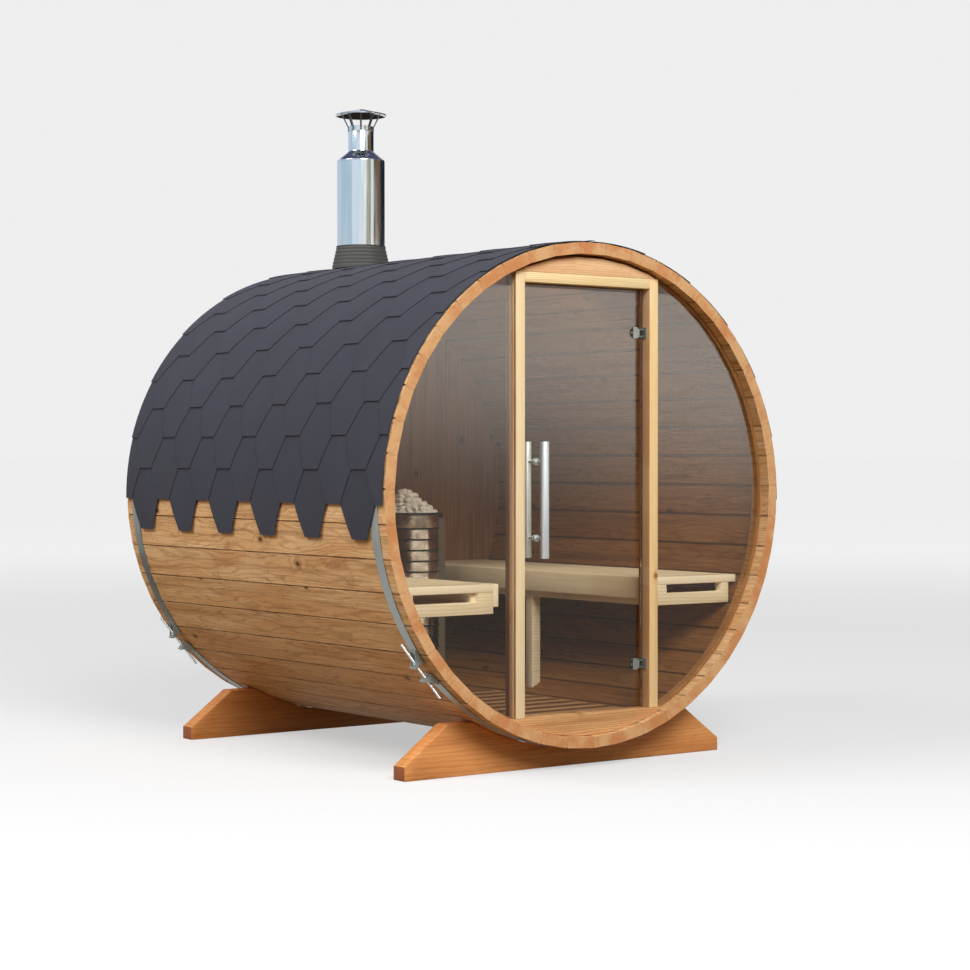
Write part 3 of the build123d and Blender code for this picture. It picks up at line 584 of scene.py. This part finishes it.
bead_finish = board_frame("glazing bead", bead_tones, None, "x", "z", "y", ring=0.007, knots=0.0)
dress(bead_finish, "glazing_beads")

# Fixed panes and door glass
# 8 mm toughened glass, bronze all through, with polished edges. The panes sit in the staves'
# groove and the posts' grooves, and the door pane hangs on two clamps.

glass = Finish("bronze glass")
smear = glass.speckle(glass.here, 3.0, 5.0, 0.6)
glass.colour(glass.blend(smear, tone(250, 247, 240), tone(252, 250, 244)))
glass.rough(glass.span(smear, 0.35, 0.75, 0.0, 0.02))
glass.skin.inputs["IOR"].default_value = 1.5
glass.skin.inputs["Transmission Weight"].default_value = 1.0
lamp_path = glass.add("LightPath")
lamp_rays = glass.most(lamp_path.outputs["Is Shadow Ray"], lamp_path.outputs["Is Diffuse Ray"])
film = glass.add("BsdfTransparent")
film.inputs[0].default_value = tone(252, 249, 244)
pane_mix = glass.add("MixShader", lamp_rays, glass.skin.outputs[0], film.outputs[0])
glass.tree.links.new(pane_mix.outputs[0], glass.out.inputs[0])
dress(glass, "left_glass", "right_glass", "door_glass")

# Door hinges and handles
# Two chrome pin hinges clamp the glass and turn on brackets screwed to the post. A satin steel
# tube stands off each face of the glass on two short bars.

chrome_finish = worn("hinge chrome", 40.0, tone(146, 152, 148), tone(172, 178, 174), (0.28, 0.4),
                     metallic=0.8)
dress(chrome_finish, "door_hinges", "hinge_brackets")

satin = Finish("satin steel")
brushed = satin.speckle(satin.point(satin.times(satin.x, 300.0), satin.times(satin.y, 300.0),
                                satin.times(satin.z, 9.0)), 1.0, 3.0)
satin.colour(satin.blend(brushed, tone(212, 220, 224), tone(232, 238, 240)))
satin.skin.inputs["Metallic"].default_value = 0.7
satin.rough(satin.span(brushed, 0.3, 0.7, 0.34, 0.46))
satin.relief(brushed, 0.0002, 0.3)
HANDLE_X = -0.231
HANDLE_FOOT = 0.8395
HANDLE_HEAD = 1.2965
HANDLE_MIDDLE = 1.068
BAR_STEP = 0.15

# fittings stop 0.3 mm short of the two faces of the door pane
FRONT_SEAT = -0.9278
BACK_SEAT = -0.9192

tube_end = ((0.0, 0.0018), (0.0142, 0.0018), (0.0150, 0.0004), (0.0163, 0.0), (0.0172, 0.0005),
            (0.0175, 0.0016))
bar = [(0.0, 0.0), (0.008, 0.0), (0.008, 0.04), (0.0, 0.04)]
rosette = [(0.0, 0.0), (0.0136, 0.0), (0.014, 0.0004), (0.014, 0.0042), (0.0134, 0.0054),
           (0.0118, 0.006), (0.0092, 0.006), (0.0086, 0.0066), (0.0086, 0.0095), (0.0, 0.0095)]
for name, tube_y, seat, side in (("outer", -0.9808, FRONT_SEAT, -1),
                                 ("inner", -0.8662, BACK_SEAT, 1)):
    pull = bmesh.new()
    tube = [(radius, HANDLE_FOOT + height) for radius, height in tube_end]
    tube += [(radius, HANDLE_FOOT + HANDLE_HEAD - height) for radius, height in reversed(tube)]
    join(pull, turned(tube), Matrix.Translation((HANDLE_X, tube_y, 0)))
    bars = [pointed((HANDLE_X, seat, HANDLE_MIDDLE + step), (0, side, 0))
            for step in (-BAR_STEP, BAR_STEP)]
    join(pull, turned(bar, steps=32), *bars)
    join(pull, turned(rosette, steps=40), *bars)
    piece(name + "_pull", pull, satin, body="door", stands_for=(name + "_handle",))

# the clamps grip the glass through dark pads, round a button that fills the notch
HINGE_LEVELS = (1.739, 0.397)
PAD_X = 0.272
BUTTON_X = 0.2588
pad_finish = worn("hinge pad rubber", 400.0, tone(20, 19, 18), tone(40, 38, 36), (0.55, 0.75),
                  detail=3.0)
disc = [(0.0, 0.0), (0.0188, 0.0), (0.0192, 0.0004), (0.0192, 0.0012), (0.0, 0.0012)]
button = [(0.0, 0.0), (0.0042, 0.0), (0.0042, 0.0022), (0.0034, 0.0031), (0.0, 0.0034)]
pads = bmesh.new()
buttons = bmesh.new()
for level in HINGE_LEVELS:
    for seat, side in ((FRONT_SEAT, -1), (BACK_SEAT, 1)):
        join(pads, turned(disc), pointed((PAD_X, seat, level), (0, side, 0)))
        join(buttons, turned(button, steps=32), pointed((BUTTON_X, seat, level), (0, side, 0)))
piece("hinge_pads", pads, pad_finish, body="door")
piece("hinge_buttons", buttons, chrome_finish, body="door")

# Back wall
# Vertical tongued boards that stand in a groove of the staves. They are unoiled and have turned
# dark.

back_tones = (tone(150, 104, 62), tone(128, 86, 50), tone(84, 52, 30), tone(46, 30, 20))
BACK_BOARD_WIDTH = 0.095
back_finish = board_frame("back wall boards", back_tones, None, "x", "z", "y",
                          ("x", BACK_BOARD_WIDTH), ring=0.009, knots=0.3, figure=0.7, streaks=0.85)
dress(back_finish, "back_wall")

# Duckboard
# Slats screwed across two runners that lie on the staves. The rear strip of each slat's top and
# its front and back edges carry painted shade, for the gaps between slats.

SLAT_PITCH = 0.115
FIRST_SLAT = -0.892
floor_tones = (tone(194, 151, 106), tone(173, 130, 87), tone(130, 90, 56), tone(80, 52, 34))
slat_finish = board_frame("duckboard slats", floor_tones, pine_ends, "y", "x", "z",
                          ("y", SLAT_PITCH), ring=0.009, knots=0.15)
# painted shade: the rear strip of each slat top and the slats' front and back edges are darkened,
# for the gaps between them
slat_place = slat_finish.plus(slat_finish.y, SLAT_PITCH * 20 - FIRST_SLAT)
slat_place = slat_finish.calc("MODULO", slat_place, SLAT_PITCH)
slat_gap_shade = slat_finish.most(slat_finish.span(slat_place, 0.042, 0.06), facing(slat_finish, 1))
slat_body = slat_finish.skin.inputs["Base Color"].links[0].from_socket
slat_gap_shade_body = slat_finish.tinted(slat_body, tone(142, 124, 110))
slat_finish.colour(slat_finish.blend(slat_gap_shade, slat_body, slat_gap_shade_body))
eased(slat_finish, 0.002, "duckboard_slats")
runner_finish = board_frame("duckboard runners", floor_tones, pine_ends, "x", "y", "z",
                            ("x", 0.3), ring=0.009, knots=0.1)
dress(runner_finish, "duckboard_runners")

# Benches
# Pale, smooth, knot-free boards, with a deep edge board along the inner side. A frame of rails
# and a leg carries them.

bench_tones = (tone(247, 236, 210), tone(242, 227, 195), tone(218, 194, 150), tone(180, 146, 104))
bench_ends = (tone(253, 243, 220), tone(240, 226, 192))
BENCH_BOARD_PITCH = 0.098
bench_finish = board_frame("bench boards", bench_tones, bench_ends, "x", "y", "z",
                           ("x", BENCH_BOARD_PITCH), ring=0.014, knots=0.0, wave=0.5)
eased(bench_finish, 0.003, "left_bench_top", "right_bench_top")
rail_finish = board_frame("bench frame", bench_tones, bench_ends, "z", "x", "y", ring=0.014,
                          knots=0.0, wave=0.5)
eased(rail_finish, 0.002, "left_bench_frame", "right_bench_frame")

# Stove
# A round steel casing with black rings, heaped with stones, on a stone slab. The black rings are a
# dark part that also paints the shadow under the lip of each section. A dark screen stands behind
# it, and its flue runs up to the chimney.

stove_finish = worn("stove steel", 12.0, tone(166, 152, 136), tone(200, 184, 166), (0.16, 0.3),
                    metallic=1.0)
STOVE_Y = 0.25
STOVE_PLACE = Matrix.Translation((0.0, STOVE_Y, 0.0))
RING_LEVELS = [0.928 - 0.047 * number for number in range(14)]
casing = [(0.0, 0.26), (0.1125, 0.26), (0.1158, 0.2625)]
for level in reversed(RING_LEVELS):
    casing += [(0.1125, level - 0.0042), (0.1118, level - 0.002), (0.1158, level - 0.0002)]
casing += [(0.116, 0.9285), (0.116, 0.9935), (0.1156, 0.994), (0.1135, 0.994), (0.113, 0.9935),
           (0.113, 0.974), (0.0, 0.974)]
body = bmesh.new()
join(body, turned(casing, steps=96), STOVE_PLACE)
piece("stove_casing", body, stove_finish, stands_for=("stove_body",), crease=25.0)

ring_finish = worn("blackened rings", 80.0, tone(20, 19, 19), tone(38, 36, 34), (0.42, 0.6),
                   metallic=0.5)
# partly painted shadow: a black ring under the lower lip of each casing section, where the section
# casts its shade
rings = bmesh.new()
for level in RING_LEVELS:
    ring = [(0.1125, level - 0.0062), (0.1194, level - 0.0062), (0.12, level - 0.0056),
            (0.12, level - 0.0008), (0.1194, level - 0.0002), (0.1125, level - 0.0002)]
    join(rings, turned(ring, steps=96, closed=True), STOVE_PLACE)
rim = [(0.1162, 0.982), (0.119, 0.982), (0.12, 0.983), (0.12, 0.993), (0.119, 0.994),
       (0.1162, 0.994)]
join(rings, turned(rim, steps=96, closed=True), STOVE_PLACE)
foot = [(0.0, 0.2203), (0.0135, 0.2203), (0.014, 0.2208), (0.014, 0.2248), (0.0095, 0.2268),
        (0.0095, 0.2598), (0.0, 0.2598)]
spread = 0.08 * math.sqrt(0.5)
foot_places = [Matrix.Translation((x, STOVE_Y + y, 0.0))
               for x in (-spread, spread) for y in (-spread, spread)]
join(rings, turned(foot, steps=28), *foot_places)
piece("stove_rings", rings, ring_finish)

stone_finish = Finish("sauna stone")
stone_grain = stone_finish.speckle(stone_finish.here, 120.0, 5.0, 0.7)
stone_share = stone_finish.span(stone_grain, 0.3, 0.7)
stone_finish.colour(stone_finish.blend(stone_share, tone(190, 187, 178), tone(251, 247, 240)))
stone_finish.rough(stone_finish.span(stone_grain, 0.3, 0.7, 0.75, 0.92))
stone_finish.relief(stone_grain, 0.003)
dress(stone_finish, "stove_base")
pick = random.Random(11)


def broken_stone():
    """A ball about 2 across, split by six planes at random and worn a little."""
    stone = bmesh.new()
    bmesh.ops.create_icosphere(stone, subdivisions=3, radius=1.0)
    for _ in range(6):
        normal = Vector((pick.gauss(0, 1), pick.gauss(0, 1), pick.gauss(0, 1))).normalized()
        whole = stone.verts[:] + stone.edges[:] + stone.faces[:]
        split = bmesh.ops.bisect_plane(stone, geom=whole, plane_co=normal * pick.uniform(0.6, 0.85),
                                       plane_no=normal, clear_outer=True)
        cut = [part for part in split["geom_cut"] if isinstance(part, bmesh.types.BMEdge)]
        if cut:
            bmesh.ops.edgeloop_fill(stone, edges=cut)
    bmesh.ops.smooth_vert(stone, verts=stone.verts, factor=0.3, use_axis_x=True, use_axis_y=True,
                          use_axis_z=True)
    return stone


# layers of stones, each a level, a distance from the middle and a count
LAYERS = ((0.991, 0.094, 19), (0.994, 0.066, 13), (1.010, 0.080, 16), (1.028, 0.062, 13),
          (1.046, 0.046, 10), (1.062, 0.034, 8), (1.078, 0.020, 5), (1.084, 0.0, 1))
heap = bmesh.new()
for layer, (level, reach, count) in enumerate(LAYERS):
    for number in range(count):
        stone = broken_stone()
        size = pick.uniform(0.0155, 0.0205)
        sizes = (size * pick.uniform(0.95, 1.25), size, size * pick.uniform(0.75, 0.95))
        bmesh.ops.scale(stone, vec=sizes, verts=stone.verts)
        angle = 2 * math.pi * (number + pick.uniform(-0.2, 0.2)) / count + layer
        turn = Matrix.Rotation(pick.uniform(0, 6.28), 4, "Z")
        turn = turn @ Matrix.Rotation(pick.uniform(-0.5, 0.5), 4, "X")
        # the top of the heap leans back and to the left
        lean = max(level - 1.0, 0.0) * 0.42
        place = Matrix.Translation((reach * math.cos(angle) - lean * 0.8,
                                    STOVE_Y + reach * math.sin(angle) + lean * 0.6,
                                    level + pick.uniform(-0.002, 0.002)))
        join(heap, stone, place @ turn)
piece("stone_heap", heap, stone_finish, stands_for=("stove_stones",), crease=38.0)

screen_finish = worn("heat screen board", 60.0, tone(82, 74, 62), tone(104, 93, 78), (0.55, 0.75),
                     detail=5.0, grit=0.65, relief=(0.0008, 0.6))
dress(screen_finish, "heat_screen")

CLIP_SIZE = Matrix.Diagonal((0.034, 0.018, 0.022, 1))
clips = bmesh.new()
for clip_x in (-0.27, 0.27):
    clip = bmesh.new()
    clip_place = Matrix.Translation((clip_x, 0.425, 0.972)) @ CLIP_SIZE
    bmesh.ops.create_cube(clip, size=1.0, matrix=clip_place)
    below = [face for face in clip.faces if face.normal.z < -0.9]
    bmesh.ops.inset_region(clip, faces=below, thickness=0.0036)
    bmesh.ops.translate(clip, vec=(0, 0, 0.016), verts=below[0].verts)
    rounded(clip, clip.edges, 0.0008)
    join(clips, clip, Matrix.Identity(4))
piece("screen_clips", clips, ring_finish)

flue_finish = worn("flue enamel", 90.0, tone(34, 34, 35), tone(52, 51, 50), (0.42, 0.6),
                   relief=(0.0005, 0.5))
dress(flue_finish, "flue_pipe")

# Chimney
# Polished stainless: an insulated length through the roof, a cone, a bare length and a rain cap
# on straps. A ribbed rubber boot seals it on the shingles.

steel = Finish("chimney stainless")
drawn = steel.speckle(steel.point(steel.times(steel.x, 60.0), steel.times(steel.y, 60.0),
                            steel.times(steel.z, 3.0)), 1.0, 3.0)
steel.colour(steel.blend(drawn, tone(214, 220, 226), tone(232, 236, 240)))
steel.skin.inputs["Metallic"].default_value = 1.0
steel.rough(steel.span(drawn, 0.3, 0.7, 0.08, 0.18))
dress(steel, "chimney_pipe")
CHIMNEY_Y = 0.65
CHIMNEY_PLACE = Matrix.Translation((0.0, CHIMNEY_Y, 0.0))
cone = [(0.056, 2.5673), (0.1070, 2.5673), (0.1075, 2.5678), (0.1075, 2.5722), (0.1068, 2.5738),
        (0.0606, 2.6128), (0.0588, 2.6142), (0.0578, 2.6160), (0.0575, 2.6180), (0.0575, 2.7262),
        (0.0571, 2.727), (0.056, 2.727)]
head = bmesh.new()
join(head, turned(cone, steps=96, closed=True), CHIMNEY_PLACE)
band = [(0.0577, 2.706), (0.0583, 2.7052), (0.0590, 2.7060), (0.0590, 2.7262), (0.0583, 2.7269),
        (0.0577, 2.7262)]
join(head, turned(band, steps=96, closed=True), CHIMNEY_PLACE)
piece("chimney_cone", head, steel, stands_for=("chimney_head",))

cap = bmesh.new()
hood = [(0.0, 2.8052), (0.104, 2.7795), (0.1118, 2.7768), (0.1140, 2.7761), (0.115, 2.7772),
        (0.115, 2.7808), (0.1138, 2.7821), (0.1115, 2.7829), (0.006, 2.8074), (0.0, 2.8079)]
join(cap, turned(hood, steps=96), CHIMNEY_PLACE)


def corners_of(grown):
    """The vertices of what an extrusion made."""
    return [part for part in grown if isinstance(part, bmesh.types.BMVert)]


# the straps run from the band up to the hood, and bend outward on the way
STRAP_COUNT = 10
FIRST_STRAP = -2.158
STRAP_SECTION = Matrix.Diagonal((0.0016, 0.008, 1.0, 1.0))
strap_finish = worn("dulled strap steel", 70.0, tone(84, 86, 92), tone(120, 122, 126), (0.3, 0.45),
                    metallic=1.0)
straps = bmesh.new()
for number in range(STRAP_COUNT):
    strap = bmesh.new()
    bmesh.ops.create_grid(strap, x_segments=1, y_segments=1, size=0.5,
                          matrix=Matrix.Translation((0.0598, 0.0, 2.706)) @ STRAP_SECTION)
    tip = strap.faces[:]
    for step in ((0.0, 0.0, 0.0195), (0.0305, 0.0, 0.0575), (0.007, 0.0, -0.0010)):
        grown = bmesh.ops.extrude_face_region(strap, geom=tip)["geom"]
        bmesh.ops.translate(strap, vec=step, verts=corners_of(grown))
        bmesh.ops.delete(strap, geom=tip, context="FACES_KEEP_BOUNDARY")
        tip = [part for part in grown if isinstance(part, bmesh.types.BMFace)]
    bmesh.ops.recalc_face_normals(strap, faces=strap.faces)
    strap_turn = Matrix.Rotation(2 * math.pi * number / STRAP_COUNT + FIRST_STRAP, 4, "Z")
    join(straps, strap, CHIMNEY_PLACE @ strap_turn)
piece("rain_hood", cap, steel, stands_for=("rain_cap",))
piece("hood_straps", straps, strap_finish)

rubber_finish = worn("boot rubber", 150.0, tone(66, 66, 63), tone(88, 87, 82), (0.55, 0.7),
                     relief=(0.0006, 0.6))
SHINGLE_TOP = 1.0094
BOOT_FOOT = 2.072
boot = [(0.1078, BOOT_FOOT), (0.13, BOOT_FOOT)]
for rib in range(6):
    low = 2.0915 + rib * 0.0161
    wide = 0.13 - 0.0036 * rib
    boot += [(wide - 0.0003, low), (wide, low + 0.002), (wide, low + 0.0085),
             (wide - 0.0012, low + 0.0115), (wide - 0.0046, low + 0.0128),
             (wide - 0.0046, low + 0.0150)]
boot += [(0.1118, 2.1868), (0.111, 2.188), (0.1085, 2.188), (0.1078, 2.1872)]
collar = turned(boot, steps=96, closed=True)
bmesh.ops.translate(collar, vec=(0, CHIMNEY_Y, 0), verts=collar.verts)
# its foot follows the curve of the shingles
for corner in collar.verts:
    if corner.co.z < BOOT_FOOT + 0.008:
        corner.co.z = AXIS_HEIGHT + math.sqrt(SHINGLE_TOP ** 2 - corner.co.x ** 2)
piece("ribbed_boot", collar, rubber_finish, stands_for=("roof_boot",))

# Studio
# A pale floor and background, a wide soft lamp high in front, one on the left, and a small warm
# one under the crown. Toned cards show in the glass and the polished steel. The camera stands
# where the photograph was taken from.

scene = bpy.context.scene
scene.view_settings.view_transform = "Standard"


def background_rays(tree):
    """1 for the rays that show the background: from the camera, and off or through a gloss."""
    path = tree.nodes.new("ShaderNodeLightPath")
    total = path.outputs["Is Camera Ray"]
    for kind in ("Is Glossy Ray", "Is Transmission Ray"):
        step = tree.nodes.new("ShaderNodeMath")
        step.operation = "MAXIMUM"
        tree.links.new(total, step.inputs[0])
        tree.links.new(path.outputs[kind], step.inputs[1])
        total = step.outputs[0]
    return total


world = bpy.data.worlds.new("studio")
world.use_nodes = True
scene.world = world
world_tree = world.node_tree
world_tree.nodes.clear()
room = world_tree.nodes.new("ShaderNodeBackground")
room.inputs[0].default_value = (0.97, 0.98, 1.0, 1.0)
room.inputs[1].default_value = 0.25
backdrop = world_tree.nodes.new("ShaderNodeBackground")
backdrop.inputs[0].default_value = (0.86, 0.86, 0.86, 1.0)
world_mix = world_tree.nodes.new("ShaderNodeMixShader")
world_out = world_tree.nodes.new("ShaderNodeOutputWorld")
world_tree.links.new(background_rays(world_tree), world_mix.inputs[0])
world_tree.links.new(room.outputs[0], world_mix.inputs[1])
world_tree.links.new(backdrop.outputs[0], world_mix.inputs[2])
world_tree.links.new(world_mix.outputs[0], world_out.inputs[0])

floor_mesh = bmesh.new()
bmesh.ops.create_grid(floor_mesh, x_segments=1, y_segments=1, size=2500.0)
floor_data = bpy.data.meshes.new("studio_floor")
floor_mesh.to_mesh(floor_data)
floor_mesh.free()
studio_floor = bpy.data.objects.new("studio_floor", floor_data)
scene.collection.objects.link(studio_floor)
floor_finish = Finish("studio floor")
floor_finish.skin.inputs["Base Color"].default_value = (0.21, 0.125, 0.045, 1.0)
floor_finish.skin.inputs["Roughness"].default_value = 0.9
floor_finish.skin.inputs["Specular IOR Level"].default_value = 0.1
shaded = floor_finish.add("BsdfDiffuse", (0.42, 0.42, 0.42, 1.0))
outward = floor_finish.times(floor_finish.y, floor_finish.y)
outward = floor_finish.scaled(floor_finish.x, floor_finish.x, outward)
outward = floor_finish.calc("SQRT", outward)
floor_glow = floor_finish.span(outward, 2.0, 22.0, 0.5, 0.75)
plain = floor_finish.add("Emission", (1.0, 1.0, 1.0, 1.0), floor_glow)
seen_floor = floor_finish.add("AddShader", shaded.outputs[0], plain.outputs[0])
floor_mix = floor_finish.add("MixShader", background_rays(floor_finish.tree),
                             floor_finish.skin.outputs[0], seen_floor.outputs[0])
floor_finish.tree.links.new(floor_mix.outputs[0], floor_finish.out.inputs[0])
floor_data.materials.append(floor_finish.material)


def lamp(name, place, aim, width, height, level, colour=(1.0, 1.0, 1.0), shows=True):
    """Soft lamp turned towards a point, of an even brightness over its face."""
    data = bpy.data.lights.new(name, "AREA")
    data.shape = "RECTANGLE"
    data.size = width
    data.size_y = height
    data.energy = level * math.pi * width * height
    data.color = colour
    bulb = bpy.data.objects.new(name, data)
    bulb.location = place
    bulb.rotation_euler = (Vector(aim) - Vector(place)).to_track_quat("-Z", "Y").to_euler()
    bulb.visible_camera = False
    bulb.visible_transmission = False
    bulb.visible_glossy = shows
    scene.collection.objects.link(bulb)


lamp("key lamp", (-3.0, -9.5, 8.0), (0.0, -0.8, 1.0), 6.0, 5.0, 12.6)
lamp("side lamp", (-8.5, 2.0, 8.0), (-0.5, 0.0, 1.0), 5.0, 4.0, 9.6)
lamp("crown lamp", (0.0, -0.55, 1.8), (0.0, 0.9, 0.8), 0.7, 0.2, 7.7,
     colour=(1.0, 0.85, 0.68), shows=False)


def card(name, mesh, low_tone, high_tone, low=0.0, high=1.0, level=1.0, through=False, lean=0.0):
    """A toned card of the backdrop, which shows in glass and steel and lights nothing."""
    data = bpy.data.meshes.new(name)
    mesh.to_mesh(data)
    mesh.free()
    board = bpy.data.objects.new(name, data)
    scene.collection.objects.link(board)
    face = Finish(name)
    height = face.scaled(face.x, lean, face.z)
    toned = face.blend(face.span(height, low, high), low_tone, high_tone)
    glow = face.add("Emission", toned, level)
    face.tree.links.new(glow.outputs[0], face.out.inputs[0])
    face.material.cycles.emission_sampling = "NONE"
    data.materials.append(face.material)
    board.visible_camera = False
    board.visible_diffuse = False
    board.visible_transmission = through
    board.visible_shadow = False


CARD_FOOT = 0.012
CARD_HEAD = 2.75


def upright_card(first, last, foot, head):
    """An upright card between two points of the floor."""
    mesh = bmesh.new()
    edge = mesh.edges.new([mesh.verts.new((*first, foot)), mesh.verts.new((*last, foot))])
    grown = bmesh.ops.extrude_edge_only(mesh, edges=[edge])["geom"]
    bmesh.ops.translate(mesh, vec=(0, 0, head - foot), verts=corners_of(grown))
    return mesh


def level_card(x, y, width, length):
    """A level card just above the floor: its middle, and its half width and half length."""
    mesh = bmesh.new()
    place = Matrix.Translation((x, y, CARD_FOOT)) @ Matrix.Diagonal((width, length, 1.0, 1.0))
    bmesh.ops.create_grid(mesh, x_segments=1, y_segments=1, size=1.0, matrix=place)
    return mesh


card("pale card", upright_card((0.5, -10.0), (14.0, -10.0), CARD_FOOT, CARD_HEAD),
     tone(112, 108, 105), tone(255, 251, 243), 1.2, 3.1, 2.5, through=True, lean=0.1)
card("front floor card", level_card(5.0, -5.7, 9.5, 4.3), tone(154, 148, 142),
     tone(154, 148, 142), through=True)
card("rear floor card", level_card(3.0, 6.0, 8.0, 4.5), tone(40, 34, 28), tone(40, 34, 28))
overhead = bmesh.new()
bmesh.ops.create_circle(overhead, cap_ends=True, segments=48, radius=13.0,
                        matrix=Matrix.Translation((0.0, CHIMNEY_Y, 10.0)))
card("overhead card", overhead, tone(82, 84, 110), tone(82, 84, 110))

# tall cards round the chimney, each between two bearings from the camera's, in degrees
CAMERA_BEARING = -123.7
SKY_DISTANCE = 9.0
SKY_CARDS = ((-180, -110, tone(206, 218, 234)), (-110, -45, tone(188, 210, 224)),
             (-45, 2, tone(226, 240, 250)), (26, 48, tone(156, 156, 132)),
             (64, 108, tone(114, 96, 74)), (108, 160, tone(32, 38, 46)),
             (160, 180, tone(96, 106, 112)))
for number, (first, last, shade) in enumerate(SKY_CARDS):
    corners = []
    for bearing in (first, last):
        angle = math.radians(bearing + CAMERA_BEARING)
        corners.append((SKY_DISTANCE * math.cos(angle), CHIMNEY_Y + SKY_DISTANCE * math.sin(angle)))
    card("sky card " + str(number), upright_card(*corners, CARD_HEAD, 6.6), shade, shade)

camera_data = bpy.data.cameras.new("camera")
camera_data.lens = 85.33
camera_data.sensor_width = 36.0
camera = bpy.data.objects.new("camera", camera_data)
camera.location = (-5.7967, -8.0138, 1.2355)
camera.rotation_euler = (math.pi / 2 - 0.0121, 0.0, -0.6435)
scene.collection.objects.link(camera)
scene.camera = camera
